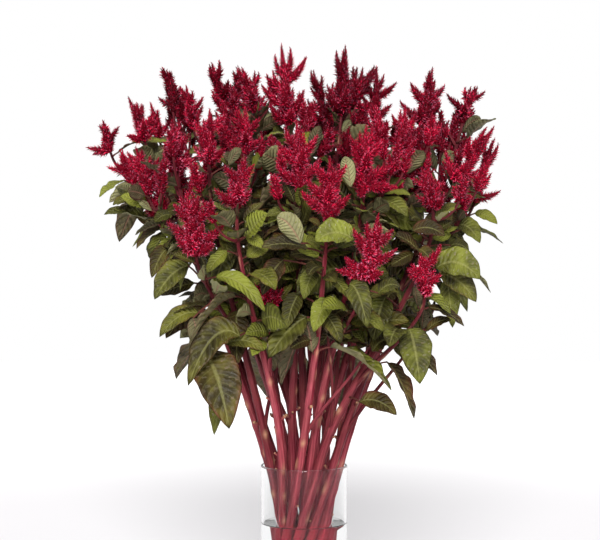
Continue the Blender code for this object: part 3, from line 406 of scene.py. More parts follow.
def leaf_width(u):
    """Half width along the blade as a share of its widest: u^0.68 (1-u)^0.85 over its own maximum."""
    widest = BASE_POWER / (BASE_POWER + TIP_POWER)
    return (u / widest) ** BASE_POWER * ((1.0 - u) / (1.0 - widest)) ** TIP_POWER


class Leaf:
    """A leaf's stalk root, blade base, bow and tip, and how its blade is held."""

    def __init__(self, root, base, tip, width, arch, roll, fold, wave):
        self.root, self.base, self.tip = (np.asarray(p, float) for p in (root, base, tip))
        self.width, self.roll, self.fold, self.wave = width, roll, fold, wave
        self.tint = self.flush = 0.5
        chord = self.tip - self.base
        self.pull = (self.base + self.tip) / 2 + UP * arch * 2
        level = np.cross(chord, UP)
        if np.linalg.norm(level) < 0.2 * np.linalg.norm(chord):
            level = np.cross(chord, (0.0, 1.0, 0.0)) * (1 if chord[2] < 0 else -1)
        self.level = unit(level)

    def midrib(self, u):
        """Points on the midrib."""
        return bezier(self.base, self.pull, self.tip, u)

    def directions(self, u):
        """Along, across and out of the blade at u, turned about the midrib by the leaf's roll."""
        way = unit(self.midrib(np.minimum(1.0, u + 0.02)) - self.midrib(np.maximum(0.0, u - 0.02)))
        side = unit(self.level - way * (way @ self.level)[:, None])
        up = np.cross(side, way)
        return (way, math.cos(self.roll) * side + math.sin(self.roll) * up,
                math.cos(self.roll) * up - math.sin(self.roll) * side)


# %% The leaves placed one by one
def nearest_stem(base):
    """The stem nearest to a blade's base, and the length along it."""
    best = None
    for name, route in routes.items():
        far = np.linalg.norm(route.points - (base - 8.0 * UP), axis=1)
        far[route.points[:, 2] < VASE_HEIGHT + 25.0] = 1e9
        spot = int(far.argmin())
        if best is None or far[spot] < best[0]:
            best = (far[spot], name, route.run[spot])
    return best[1], best[2]


def owner_of(name):
    """The solid that a stem or a side shoot belongs to."""
    return "stem_" + parents.get(name, name)


draw = random.Random(SEED)
leaves = {name: [] for name in routes}
front = {}
for number, (base, tip, width, arch) in enumerate(FRONT_LEAVES):
    base, tip = np.array(base, float), np.array(tip, float)
    name, length = nearest_stem(base)
    for attempt in range(48):
        shift = attempt * np.array((draw.uniform(-0.3, 0.3), draw.uniform(-0.7, 0.3),
                                    draw.uniform(-0.3, 0.3)))
        size = 1.0 - 0.007 * attempt
        end = base + shift + (tip - base) * size
        leaf = Leaf(routes[name].heart(length), base + shift, end, width * size, arch,
                    draw.uniform(-0.25, 0.25), draw.uniform(0.12, 0.4), width * 0.07)
        if is_corner(owner_of(name), end):
            leaves[name].append(leaf)
            front[number] = leaf
            break
print("leaves placed by eye that the solids kept:", len(front))

# %% The leaves that climb the stems
def outwardness(route, length):
    """How near the outside of the bunch a place on a stem is: 0 at its axis, about 1 outside."""
    place = route.at(length)
    spread = VASE_RADIUS + (place[2] - VASE_HEIGHT) * BUNCH_SPREAD
    return math.hypot(place[0], place[1]) / spread


def leaf_nodes():
    """The nodes of every stem and shoot, a golden turn apart, roughly from the outside inwards."""
    nodes = []
    for name, route in routes.items():
        start = route.at_height(max(FOLIAGE_FLOOR, route.points[0][2] + 22.0))
        stop = route.run[-1] - 14.0
        turn = draw.uniform(0, math.tau)
        length = start + draw.uniform(0, 12.0)
        while length < stop:
            nodes.append((name, length, turn))
            length += NODE_PITCH * draw.uniform(0.85, 1.15)
            turn += PHYLLOTAXY
    nodes.sort(key=lambda node: draw.uniform(0.0, OUTER_FIRST) - outwardness(routes[node[0]], node[1]))
    return nodes


def try_node(name, length, turn):
    """Try leaves at a node until one is a corner of the solid, or thirty have failed."""
    route = routes[name]
    root, radius = route.heart(length), route.radius(length)
    near_top = smooth_step(route.run[-1] - 150.0, route.run[-1], length)
    out = outwards_from(root)
    for attempt in range(30):
        way = level_way(turn + draw.uniform(-1, 1) * 0.12 * attempt)
        way = unit(way + out * (0.9 if attempt > 8 else 0.5))
        size = draw.uniform(64.0, 96.0) * (1.0 - 0.45 * near_top) * (1.0 - 0.012 * attempt)
        rise = math.radians(draw.uniform(-72.0, -14.0) + 46.0 * near_top)
        base = root + way * (radius + draw.uniform(10.0, 20.0)) + UP * 7.0
        end = base + size * (way * math.cos(rise) + UP * math.sin(rise))
        leaf = Leaf(root, base, end, size * draw.uniform(0.42, 0.56), size * draw.uniform(0.05, 0.15),
                    draw.uniform(-0.6, 0.6), draw.uniform(0.10, 0.42), size * 0.03)
        if is_corner(owner_of(name), end):
            return leaf
    return None


stem_nodes = leaf_nodes()
count = len(front)
for name, length, turn in stem_nodes:
    leaf = try_node(name, length, turn) if count < MOST_LEAVES else None
    if leaf:
        leaves[name].append(leaf)
        count += 1
print("leaves in all:", count, "from", len(stem_nodes), "nodes")

# %% The spikes of every flower head
def head_spikes(head):
    """(tip, girth) of a head's side spikes, each as far out as the solid has it."""
    name, base, girth, found = head[0], np.array(head[3], float), head[5], []
    for offset in head[6]:
        for stretch, thin in SPIKE_TRIES:
            tip = base + np.array(offset, float) * stretch
            if is_corner("head_" + name, tip):
                found.append((tip, girth * SIDE_GIRTH * thin))
                break
    return found


spikes = {head[0]: head_spikes(head) for head in MAIN_HEADS + SIDE_HEADS}
print("side spikes:", sum(len(found) for found in spikes.values()))

# %% [markdown]
# ## Surfaces as grids
# Every stalk, leaf and spike core is one grid of points: rows along the piece, columns round it, with
# the last column joined to the first and a point closing each end. That one form can be made by whole
# arrays, is always closed, and carries a UV map that follows the piece, which its veins and streaks need.

# %% Gather grids into one mesh
class Skin:
    """Surfaces gathered for one mesh: points with two values each, and faces with UVs and materials."""

    def __init__(self):
        self.points, self.tint, self.flush = [], [], []
        self.corners, self.sizes, self.uvs, self.slots, self.soft = [], [], [], [], []
        self.count = 0

    def add_points(self, points, tint, flush):
        """Keep points, and give the number of the first one."""
        points = np.asarray(points, float).reshape(-1, 3)
        first, self.count = self.count, self.count + len(points)
        self.points.append(points)
        self.tint.append(np.broadcast_to(tint, len(points)))
        self.flush.append(np.broadcast_to(flush, len(points)))
        return first

    def add_faces(self, corners, uvs, slots, soft=True):
        """Keep faces given as rows of corner numbers, with a UV pair for each corner."""
        corners = corners.reshape(-1, corners.shape[-1])
        self.corners.append(corners.ravel())
        self.sizes.append(np.full(len(corners), corners.shape[1]))
        self.uvs.append(uvs.reshape(-1, 2))
        self.slots.append(np.broadcast_to(slots, len(corners)))
        self.soft.append(np.full(len(corners), soft))

    def add_tube(self, points, along, around, slots, tint, flush, ends):
        """A grid (rows, columns) closed round and capped by two end points. Row r and column c have the
        UV (along[r], around[c]), and the last column ends at around[columns]."""
        rows, columns = points.shape[:2]
        slots = np.broadcast_to(slots, (rows - 1, columns))
        spread = [np.broadcast_to(value, (rows, columns)).ravel() for value in (tint, flush)]
        first = self.add_points(points, *spread)
        caps = self.add_points(ends, [spread[0][0], spread[0][-1]], [spread[1][0], spread[1][-1]])
        row, column = np.arange(rows)[:, None], np.arange(columns)[None, :]
        here = first + row * columns + column
        after = first + row * columns + (column + 1) % columns
        u = np.broadcast_to(along[:, None], (rows, columns))
        v, w = (np.broadcast_to(part[None, :], (rows, columns)) for part in (around[:-1], around[1:]))
        near, far = np.stack((u, v), -1), np.stack((u, w), -1)
        self.add_faces(np.stack((here[:-1], after[:-1], after[1:], here[1:]), -1),
                       np.stack((near[:-1], far[:-1], far[1:], near[1:]), -2), slots.ravel())
        for r, pole, order in ((0, caps, -1), (rows - 1, caps + 1, 1)):
            fan = np.stack((here[r], after[r], np.full(columns, pole)), -1)[:, ::order]
            uvs = np.stack((near[r], far[r], (near[r] + far[r]) / 2), -2)[:, ::order]
            self.add_faces(fan, uvs, slots[min(r, rows - 2)])


# %% Turn the gathered surfaces into a piece of the scene
def make_piece(name, skin, finishes, slot, *replaced):
    """A mesh object in metres, with its UV map, its two values and its materials, on the one body. Gives
    back its number of triangles."""
    mesh = bpy.data.meshes.new(name)
    points, corners = np.concatenate(skin.points) * MM, np.concatenate(skin.corners)
    sizes = np.concatenate(skin.sizes)
    mesh.vertices.add(len(points))
    mesh.vertices.foreach_set("co", points.astype(np.float32).ravel())
    mesh.loops.add(len(corners))
    mesh.loops.foreach_set("vertex_index", corners.astype(np.int32))
    mesh.polygons.add(len(sizes))
    mesh.polygons.foreach_set("loop_start", (np.cumsum(sizes) - sizes).astype(np.int32))
    mesh.polygons.foreach_set("material_index", np.concatenate(skin.slots).astype(np.int32))
    mesh.polygons.foreach_set("use_smooth", np.concatenate(skin.soft))
    mesh.update(calc_edges=True)
    uv = mesh.uv_layers.new(name="UVMap")
    uv.data.foreach_set("uv", np.concatenate(skin.uvs).astype(np.float32).ravel())
    for label in ("tint", "flush"):
        value = mesh.attributes.new(label, "FLOAT", "POINT")
        value.data.foreach_set("value", np.concatenate(getattr(skin, label)).astype(np.float32))
    for finish in finishes:
        mesh.materials.append(finish)
    piece = bpy.data.objects.new(name, mesh)
    bpy.context.scene.collection.objects.link(piece)
    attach(piece, "root")
    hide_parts(*replaced)
    return int((sizes - 2).sum())


# %% [markdown]
# ## Patterns shared by the finishes
# Plants are never one flat colour. Three patterns are each built once as a node group: a soft mottle
# read from the object's own coordinates, long streaks that follow the UV map of a stalk, and the veins
# of a leaf. A group only puts out values, and each material decides what they do.

# %% Helpers for building node groups
def new_group(name, inputs, outputs):
    """An empty shader node group with float or vector sockets, and its two end nodes."""
    group = bpy.data.node_groups.new(name, "ShaderNodeTree")
    for label, value in inputs.items():
        kind = "NodeSocketVector" if value is None else "NodeSocketFloat"
        made = group.interface.new_socket(label, in_out="INPUT", socket_type=kind)
        if value is not None:
            made.default_value = value
    for label in outputs:
        group.interface.new_socket(label, in_out="OUTPUT", socket_type="NodeSocketFloat")
    return group, group.nodes.new("NodeGroupInput"), group.nodes.new("NodeGroupOutput")


def calculate(tree, operation, *values):
    """A Math node: each value is a number or a socket."""
    node = tree.nodes.new("ShaderNodeMath")
    node.operation = operation
    for socket, value in zip(node.inputs, values):
        if isinstance(value, (int, float)):
            socket.default_value = value
        else:
            tree.links.new(value, socket)
    return node.outputs[0]


def times(tree, first, second):
    """The product of two values."""
    return calculate(tree, "MULTIPLY", first, second)


def rest_of(tree, value):
    """What is left of 1."""
    return calculate(tree, "SUBTRACT", 1.0, value)


def ramp(tree, value, low, high):
    """A smooth step of a socket from low to high."""
    node = tree.nodes.new("ShaderNodeMapRange")
    node.interpolation_type = "SMOOTHSTEP"
    node.inputs["From Min"].default_value, node.inputs["From Max"].default_value = low, high
    tree.links.new(value, node.inputs["Value"])
    return node.outputs["Result"]


# %% The mottle group
mottle, start, stop = new_group("soft_mottle", {"Place": None, "Scale": 40.0, "Detail": 3.0}, ["Value"])
noise = mottle.nodes.new("ShaderNodeTexNoise")
for label, source in (("Vector", "Place"), ("Scale", "Scale"), ("Detail", "Detail")):
    mottle.links.new(start.outputs[source], noise.inputs[label])
mottle.links.new(ramp(mottle, noise.outputs["Fac"], 0.32, 0.68), stop.inputs["Value"])
print("group:", mottle.name)

# %% The streak group: noise stretched along the stalk
streak, start, stop = new_group("long_streaks", {"UV": None, "Count": 9.0, "Length": 2.0}, ["Value"])
split = streak.nodes.new("ShaderNodeSeparateXYZ")
streak.links.new(start.outputs["UV"], split.inputs[0])
turn = times(streak, split.outputs["Y"], math.tau)
wide = calculate(streak, "DIVIDE", start.outputs["Count"], math.tau)
place = streak.nodes.new("ShaderNodeCombineXYZ")
for axis, trig in (("X", "COSINE"), ("Y", "SINE")):
    streak.links.new(times(streak, calculate(streak, trig, turn), wide), place.inputs[axis])
streak.links.new(times(streak, split.outputs["X"], start.outputs["Length"]), place.inputs["Z"])
noise = streak.nodes.new("ShaderNodeTexNoise")
noise.inputs["Scale"].default_value = 1.0
noise.inputs["Detail"].default_value = 4.0
streak.links.new(place.outputs[0], noise.inputs["Vector"])
streak.links.new(ramp(streak, noise.outputs["Fac"], 0.35, 0.65), stop.inputs["Value"])
print("group:", streak.name)

# %% The vein group: a midrib, slanted side veins, and the distance from the midrib
veins, start, stop = new_group("leaf_veins", {"UV": None, "Pairs": 8.0, "Slant": 1.9},
                               ["Midrib", "Side veins", "Edge", "Between"])
split = veins.nodes.new("ShaderNodeSeparateXYZ")
veins.links.new(start.outputs["UV"], split.inputs[0])
edge = times(veins, calculate(veins, "ABSOLUTE", calculate(
    veins, "SUBTRACT", split.outputs["Y"], 0.5)), 2.0)
phase = calculate(veins, "SUBTRACT", times(veins, split.outputs["X"], start.outputs["Pairs"]),
                  times(veins, edge, start.outputs["Slant"]))
saw = calculate(veins, "ABSOLUTE", calculate(veins, "SUBTRACT", calculate(veins, "FRACT", phase), 0.5))
side_veins = times(veins, ramp(veins, saw, 0.40, 0.5),
                       rest_of(veins, ramp(veins, edge, 0.55, 0.98)))
rib = rest_of(veins, ramp(veins, edge, 0.02, 0.09))
between = times(veins, rest_of(veins, ramp(veins, saw, 0.05, 0.42)),
                    rest_of(veins, ramp(veins, edge, 0.7, 1.0)))
for label, value in (("Midrib", rib), ("Side veins", side_veins), ("Edge", edge), ("Between", between)):
    veins.links.new(value, stop.inputs[label])
print("group:", veins.name)

# %% Helpers for building materials
def new_material(name, **values):
    """A material with one Principled shader whose plain values are set on its own sockets."""
    made = bpy.data.materials.new(name)
    made.use_nodes = True
    shader = made.node_tree.nodes["Principled BSDF"]
    for label, value in values.items():
        shader.inputs[label.replace("_", " ")].default_value = value
    return made, made.node_tree, shader


def use_group(tree, group, place, **values):
    """A node that uses a shared group, fed with a place and its own values."""
    node = tree.nodes.new("ShaderNodeGroup")
    node.node_tree = group
    tree.links.new(place, node.inputs[0])
    for label, value in values.items():
        node.inputs[label].default_value = value
    return node.outputs


def mix(tree, factor, first, second):
    """A colour mix by a socket: each colour is an RGB triple or a socket."""
    node = tree.nodes.new("ShaderNodeMix")
    node.data_type = "RGBA"
    tree.links.new(factor, node.inputs["Factor"])
    for socket, value in ((node.inputs["A"], first), (node.inputs["B"], second)):
        if isinstance(value, tuple):
            socket.default_value = (*value, 1.0)
        else:
            tree.links.new(value, socket)
    return node.outputs["Result"]


def inputs_of(tree):
    """The object place, the UV map and the two point values of a piece."""
    place = tree.nodes.new("ShaderNodeTexCoord")
    values = []
    for label in ("tint", "flush"):
        node = tree.nodes.new("ShaderNodeAttribute")
        node.attribute_name = label
        values.append(node.outputs["Fac"])
    return place.outputs["Object"], place.outputs["UV"], *values


def add_bump(tree, shader, height, strength, distance):
    """A Bump node from a height socket into the shader's normal."""
    node = tree.nodes.new("ShaderNodeBump")
    node.inputs["Strength"].default_value = strength
    node.inputs["Distance"].default_value = distance
    tree.links.new(height, node.inputs["Height"])
    tree.links.new(node.outputs["Normal"], shader.inputs["Normal"])


print("helpers ready")

# %% [markdown]
# ## Stalk and leaf finishes
# The stalks are crimson with paler pink ribs, cream where a leaf or shoot has broken off, and a deeper red
# under the water. The upper face of a leaf is olive to yellow-green with paler veins, and flushed brown
# towards its edge. The under face is paler and duller, with pink veins. Each leaf has its own tint.

# %% The stalk finish
WATERLINE_BLUR = 0.003
stalk_finish, tree, shader = new_material("stalk_skin", Specular_IOR_Level=0.14)
place, uv, tint, flush = inputs_of(tree)
lines = use_group(tree, streak, uv, Count=10.0, Length=1.6)["Value"]
fine = use_group(tree, streak, uv, Count=34.0, Length=5.0)["Value"]
cloud = use_group(tree, mottle, place, Scale=55.0, Detail=3.0)["Value"]
crimson = mix(tree, tint, (0.042, 0.002, 0.006), (0.225, 0.010, 0.028))
pink = mix(tree, times(tree, times(tree, lines, tint), 0.8), crimson,
           (0.56, 0.115, 0.142))
grooved = mix(tree, times(tree, fine, 0.45), pink, (0.07, 0.004, 0.009))
dull = mix(tree, times(tree, cloud, 0.25), grooved, (0.20, 0.050, 0.040))
height = tree.nodes.new("ShaderNodeSeparateXYZ")
tree.links.new(place, height.inputs[0])
soaked = times(tree, rest_of(tree, ramp(
    tree, height.outputs["Z"], WATER_LEVEL * MM - WATERLINE_BLUR, WATER_LEVEL * MM + WATERLINE_BLUR)), 0.65)
wet = mix(tree, soaked, dull, (0.42, 0.012, 0.035))
scarred = mix(tree, flush, wet, (0.60, 0.33, 0.19))
tree.links.new(scarred, shader.inputs["Base Color"])
add_bump(tree, shader, calculate(tree, "ADD", lines, times(tree, fine, 0.6)), 0.8, 0.0008)
tree.links.new(calculate(tree, "ADD", times(tree, fine, 0.18), 0.42), shader.inputs["Roughness"])
print("finish:", stalk_finish.name)


# %% The two leaf finishes
def leaf_finish(name, dark, light, vein, blush, vein_share, roughness):
    """A leaf face: tint mixes dark and light, veins are paler, flush reddens it, most at the edge."""
    made, tree, shader = new_material(name, Specular_IOR_Level=0.22)
    place, uv, tint, flush = inputs_of(tree)
    lines = use_group(tree, veins, uv, Pairs=9.0, Slant=2.1)
    cloud = use_group(tree, mottle, place, Scale=42.0, Detail=4.0)["Value"]
    grain = use_group(tree, mottle, place, Scale=420.0, Detail=2.0)["Value"]
    shade = calculate(tree, "ADD", tint, times(tree, calculate(
        tree, "SUBTRACT", cloud, 0.5), 0.45))
    sunk = calculate(tree, "SUBTRACT", shade, times(tree, lines["Between"], 0.06))
    blade = mix(tree, ramp(tree, sunk, 0.0, 1.0), dark, light)
    edge = ramp(tree, lines["Edge"], 0.35, 1.0)
    reach = calculate(tree, "ADD", times(tree, edge, 0.6), 0.4)
    red = times(tree, times(tree, flush, reach),
                    calculate(tree, "ADD", times(tree, cloud, 0.7), 0.3))
    flushed = mix(tree, ramp(tree, red, 0.0, 0.9), blade, blush)
    ribs = calculate(tree, "MAXIMUM", lines["Midrib"], times(tree, lines["Side veins"], 0.38))
    veined = mix(tree, times(tree, ribs, vein_share), flushed, vein)
    tree.links.new(veined, shader.inputs["Base Color"])
    tree.links.new(calculate(tree, "ADD", times(tree, cloud, 0.16), roughness),
                   shader.inputs["Roughness"])
    quilt = calculate(tree, "ADD", times(tree, grain, 0.3), lines["Between"])
    add_bump(tree, shader, calculate(tree, "SUBTRACT", quilt, ribs), 0.8, 0.0010)
    return made


leaf_upper = leaf_finish("leaf_upper_face", dark=(0.027, 0.023, 0.006), light=(0.240, 0.262, 0.034),
                         vein=(0.30, 0.29, 0.10), blush=(0.125, 0.030, 0.018), vein_share=0.40,
                         roughness=0.40)
leaf_under = leaf_finish("leaf_under_face", dark=(0.066, 0.060, 0.028), light=(0.33, 0.32, 0.15),
                         vein=(0.36, 0.17, 0.12), blush=(0.14, 0.042, 0.034), vein_share=0.55,
                         roughness=0.55)
print("finishes:", leaf_upper.name, leaf_under.name)

# %% [markdown]
# ## Stalks
# A celosia stalk has soft ribs along it, and a small swelling with a scar wherever a leaf sits or sat.
# A tube carried along the route gives that, with its radius changed by one wave round it and one bell
# shape at each node. A few short broken shoots are left low on each stem, as in a real bunch.

# %% The surface of a stalk
SCAR_PITCH, FIRST_SCAR, SCAR_SHIFT = 36.0, 28.0, 8.0


def stalk_surface(route, rows, sides, marks, shape):
    """Tube round a route: r(s, a) = radius(s) (1 + 0.06 cos 5a) (1 + 0.13 sum exp(-((s - mark)/3.2)^2)),
    and a third slimmer among the leaves than below them."""
    s = np.linspace(0.0, route.run[-1], rows)
    centres, ways = route.at(s), route.way(s)
    side = unit(np.cross(ways, ASKEW))
    up = np.cross(ways, side)
    a = np.arange(sides) * math.tau / sides
    swell = 1.0 + 0.13 * np.exp(-(((s[:, None] - marks[None, :]) / 3.2) ** 2)).sum(axis=1)
    slim = 1.0 - 0.36 * smooth_step(290.0, 470.0, centres[:, 2])
    r = (route.radius(s) * swell * slim)[:, None] * (1.0 + 0.06 * np.cos(5 * a + shape))
    return s, a, rings_round(centres, r, side, up, a), centres


def scar_share(s, a, marks, turns):
    """1 at each scar and 0 away from it: a bell 4 mm long and 0.5 rad wide round each mark."""
    round_off = np.angle(np.exp(1j * (a[None, :, None] - turns[None, None, :])))
    bell = np.exp(-(((s[:, None, None] - marks) / 4.0) ** 2) - (round_off / 0.5) ** 2)
    return np.clip(bell.sum(axis=2), 0.0, 1.0)


def add_stalk(skin, route, rows, sides, tone, seeds, level_foot):
    """One stalk: pinker low down, darker higher up as a painted shade among the leaves, with cream scars."""
    even = np.arange(FIRST_SCAR, route.run[-1] - 6.0, SCAR_PITCH)
    marks = even + seeds.uniform(-SCAR_SHIFT, SCAR_SHIFT, len(even))
    turns = seeds.uniform(0.0, math.tau, len(marks))
    s, a, points, centres = stalk_surface(route, rows, sides, marks, seeds.uniform(0.0, math.tau))
    if level_foot:
        points[0, :, 2] = centres[0, 2] = VASE_BASE + GAP
    # Darker from 330 to 600 mm up, where the leaves are: a painted shade. Pinker below the rim.
    foliage_shade, below_rim = smooth_step(330.0, 600.0, centres[:, 2]), 1.0 - smooth_step(170.0, 230.0, centres[:, 2])
    tint = np.clip(tone - 0.55 * foliage_shade + 0.4 * below_rim, 0.0, 1.0)[:, None]
    scars = 0.75 * scar_share(s, a, marks, turns)
    skin.add_tube(points, s / 100.0, np.linspace(0.0, 1.0, sides + 1), 0, tint, scars,
                  (centres[0], centres[-1]))


print("stalks are drawn with their leaves, below")

# %% Thin twigs, and the broken ones on the lower stems
def carried_frames(points):
    """Directions along, across and out of a curve at each point, carried along it without twist."""
    ways = unit(np.gradient(points, axis=0))
    side, sides = np.cross(ways[0], ASKEW), []
    for way in ways:
        side = unit(side - way * side.dot(way))
        sides.append(side)
    sides = np.array(sides)
    return ways, sides, np.cross(ways, sides)


def add_twig(skin, path, radii, tint, scar):
    """A thin closed tube of ten sides along a path, with a radius at each point."""
    _, sides, ups = carried_frames(path)
    points = rings_round(path, radii[:, None], sides, ups, np.arange(10) * math.tau / 10)
    skin.add_tube(points, np.linspace(0.0, 0.1, len(path)), np.linspace(0.0, 1.0, 11), 0, tint, scar,
                  (path[0], path[-1]))


def add_stub(skin, route, length, turn, size, tone):
    """A broken shoot: it leaves a stem at half a right angle, and its cut end is cream."""
    root, way = route.at(length), route.way(length)
    lean = unit(unit(np.cross(way, level_way(turn))) + 0.8 * way)
    t = np.array((0.0, 0.5, 0.85, 1.0))
    far = route.radius(length) * 0.4 + t * (route.radius(length) + size * 3.2)
    add_twig(skin, root + far[:, None] * lean, size * np.array((1.25, 0.95, 0.95, 0.75)), tone,
             np.array((0.0, 0.0, 0.25, 1.0))[:, None])


# %% [markdown]
# ## Leaf surfaces
# A leaf is drawn as one flattened tube, from a round stalk to a thin blade: half of each ring lies on
# the upper face and half on the under face. So stalk, blade and both faces are one closed skin. The
# blade sinks along its side veins and puffs up between them, as a soft leaf does.

# %% The surface of a leaf
STALK_RADIUS, BLADE_HALF_THICKNESS, STALK_SCAR = 1.1, 0.24, 0.12


def leaf_rings(leaf, rows, columns):
    """Blade rings: across v from -1 to 1, half width w(u), lifted by the fold |v|^1.5 w sin(fold), a wave
    at the edge, and a quilt between veins; the under face lies a thickness lower, with a midrib."""
    u = np.linspace(0.0, 1.0, rows + 1)[1:-1] ** 1.15
    _, side, up = (part[:, None] for part in leaf.directions(u))
    v = -np.cos(math.pi * np.arange(2 * columns) / columns)
    is_upper = np.arange(2 * columns) <= columns
    half = (leaf.width / 2 * leaf_width(u))[:, None]
    reach, u = np.abs(v)[None, :], u[:, None]
    fade = smooth_step(0.0, 0.2, 1.0 - u)
    wave = 0.65 * leaf.wave * np.sin(u * 17.0 + np.sign(v) * 1.3 + leaf.width) * fade
    ripple = 0.018 * leaf.width * np.sin(u * 31.0 + np.sign(v) * 2.0 + leaf.roll * 9.0) * fade
    puff = 0.024 * leaf.width if rows > 20 else 0.0
    quilt = puff * np.cos(math.tau * (u * 9.0 - reach * 2.1)) * np.sin(math.pi * reach) * fade
    lift = half * math.sin(leaf.fold) * reach**1.5 + wave * reach**2 + ripple * reach**3 - quilt
    rib = 0.75 * np.exp(-((reach * half / 1.3) ** 2)) * (1.0 - 0.75 * u)
    thick = BLADE_HALF_THICKNESS * np.sqrt(np.clip(1.0 - reach**4, 0.0, 1.0))
    lift = lift + np.where(is_upper, thick - 0.35 * rib, -thick - rib)
    across = (half * v * math.cos(leaf.fold))[..., None] * side
    return u[:, 0], leaf.midrib(u[:, 0])[:, None] + across + lift[..., None] * up


def add_leaf(skin, leaf, rows, columns):
    """A whole leaf: three stalk rings that bend from the stem to the blade, then the blade."""
    u, blade = leaf_rings(leaf, rows, columns)
    way, side, _ = (part[0] for part in leaf.directions(np.array([0.0])))
    far = np.linalg.norm(leaf.base - leaf.root)
    t = np.array((0.0, 0.4, 0.75, 1.0))
    bend = leaf.root + (leaf.base - leaf.root) * 0.5 + UP * far * 0.10
    path = bezier(leaf.root, bend, leaf.base, t)
    ways = unit(np.gradient(path, axis=0))
    ways[-1] = unit(ways[-1] + way)
    sides = unit(side - ways * (ways @ side)[:, None])
    ups = np.cross(sides, ways)
    a = math.pi - math.pi * np.arange(2 * columns) / columns
    radius = STALK_RADIUS * np.array((1.35, 1.0, 0.95, 0.95)) * min(1.0, 0.55 + leaf.width / 60.0)
    points = np.concatenate((rings_round(path, radius[:, None], sides, ups, a), blade))
    along = np.concatenate(((-0.30, -0.2, -0.1, 0.0), u))
    around = np.concatenate((np.linspace(0.0, 1.0, columns + 1), np.linspace(1.0, 0.0, columns + 1)[1:]))
    slots = np.where(np.arange(2 * columns)[None, :] < columns, 1, 2) * np.ones((len(points) - 1, 1), int)
    slots[:len(t) - 1] = 0
    tint, flush = (np.full((len(points), 1), value) for value in (leaf.tint, leaf.flush))
    tint[:len(t)] = 0.1 + 0.45 * leaf.tint
    flush[:len(t)] = STALK_SCAR
    skin.add_tube(points, along, around, slots, tint, flush, (leaf.root, leaf.tip))


print("leaf surface ready")

# %% [markdown]
# ## Small heads and more leaves
# A real bunch has far more than the solid model carries: slender shoots without a head, small late heads
# on thin twigs among the large ones, and about a thousand small leaves. They are tried at places all
# round the stems, facing out of the bunch, and kept where they stand clear of every solid and of each
# other. A BVH tree answers quickly whether two small surfaces cross, or how near a point is to a solid.

# %% What a new piece has to stand clear of
def tree_of(node):
    """The BVH tree of a solid, in millimetres, with its box."""
    faces = [tuple(face.vertices) for face in node.data.polygons]
    points = CORNERS[node.name]
    return points.min(axis=0), points.max(axis=0), BVHTree.FromPolygons(points.tolist(), faces)


SOLIDS = {name: tree_of(node) for name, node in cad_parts.items() if name != "water"}
LOW, HIGH = (np.array(corner) / MM for corner in CAD_BOX)


BOX_MARGIN = 3.0


def is_far(point, distance, kind):
    """Whether a point is at least a distance from every solid of a kind, and inside the whole box."""
    if (point < LOW + BOX_MARGIN).any() or (point > HIGH - BOX_MARGIN).any():
        return False
    return all(tree.find_nearest(Vector(point), distance)[0] is None
               for name, (_, _, tree) in SOLIDS.items() if name.startswith(kind))


def is_clear(points, faces, others):
    """Whether a small surface crosses none of the others."""
    low, high = points.min(axis=0), points.max(axis=0)
    near = [tree for near, far, tree in others if (near < high).all() and (far > low).all()]
    if not near:
        return True
    own = BVHTree.FromPolygons(points.tolist(), faces)
    return not any(own.overlap(tree) for tree in near)


def with_box(points, faces):
    """A small surface as the tests want it."""
    return points.min(axis=0), points.max(axis=0), BVHTree.FromPolygons(points.tolist(), faces)


def outward_way(draws, root, outwards):
    """A level direction at random, drawn towards the outside of the bunch."""
    angle = draws.uniform(0, math.tau)
    return unit(level_way(angle) + outwards * outwards_from(root))


print("solids to stand clear of:", len(SOLIDS))

# %% Thin shoots low on the stems: the first is given, the rest are tried at random
MOST_SHOOTS, SHOOT_TRIES, SHOOT_SPACING = 22, 900, 11.0
FIRST_SHOOT = ("right_low", np.array((147.0, -66.0, 388.0)), 228.0)
shoots, twist = [], random.Random(SEED + 4)


def shoot_route(parent, end, height):
    """A slender shoot: the cubic from a stem at a height to its own end, held up by its leaves."""
    length = parent.at_height(height)
    start = parent.heart(length)
    reach = np.linalg.norm(end - start)
    leave, arrive = unit(parent.way(length) + 0.8 * unit(end - start)), unit(end - start + 0.5 * reach * UP)
    points = hermite(start, leave * reach, end, arrive * reach, np.linspace(0, 1, 17))
    return Route(points, np.linspace(2.3, 1.5, 17), lambda run: run)


for attempt in range(SHOOT_TRIES):
    if len(shoots) >= MOST_SHOOTS:
        break
    name, end, height = FIRST_SHOOT
    if attempt:
        name, height = MAIN_HEADS[twist.randrange(len(MAIN_HEADS))][0], twist.uniform(208.0, 300.0)
        root = mains[name].heart(mains[name].at_height(height))
        spread = twist.uniform(12.0, 40.0) if attempt % 2 else twist.uniform(45.0, 80.0)
        end = root + outward_way(twist, root, 0.8) * spread + UP * twist.uniform(105.0, 170.0)
    shoot = shoot_route(mains[name], end, height)
    if not attempt or all(is_far(point, 2.4, "stem_") and is_far(point, 6.0, "head_")
                          for point in shoot.points[5:]):
        if all(np.linalg.norm(shoot.points[8] - other.points[8]) > SHOOT_SPACING for _, other in shoots):
            shoots.append((name, shoot))
print("thin shoots:", len(shoots))

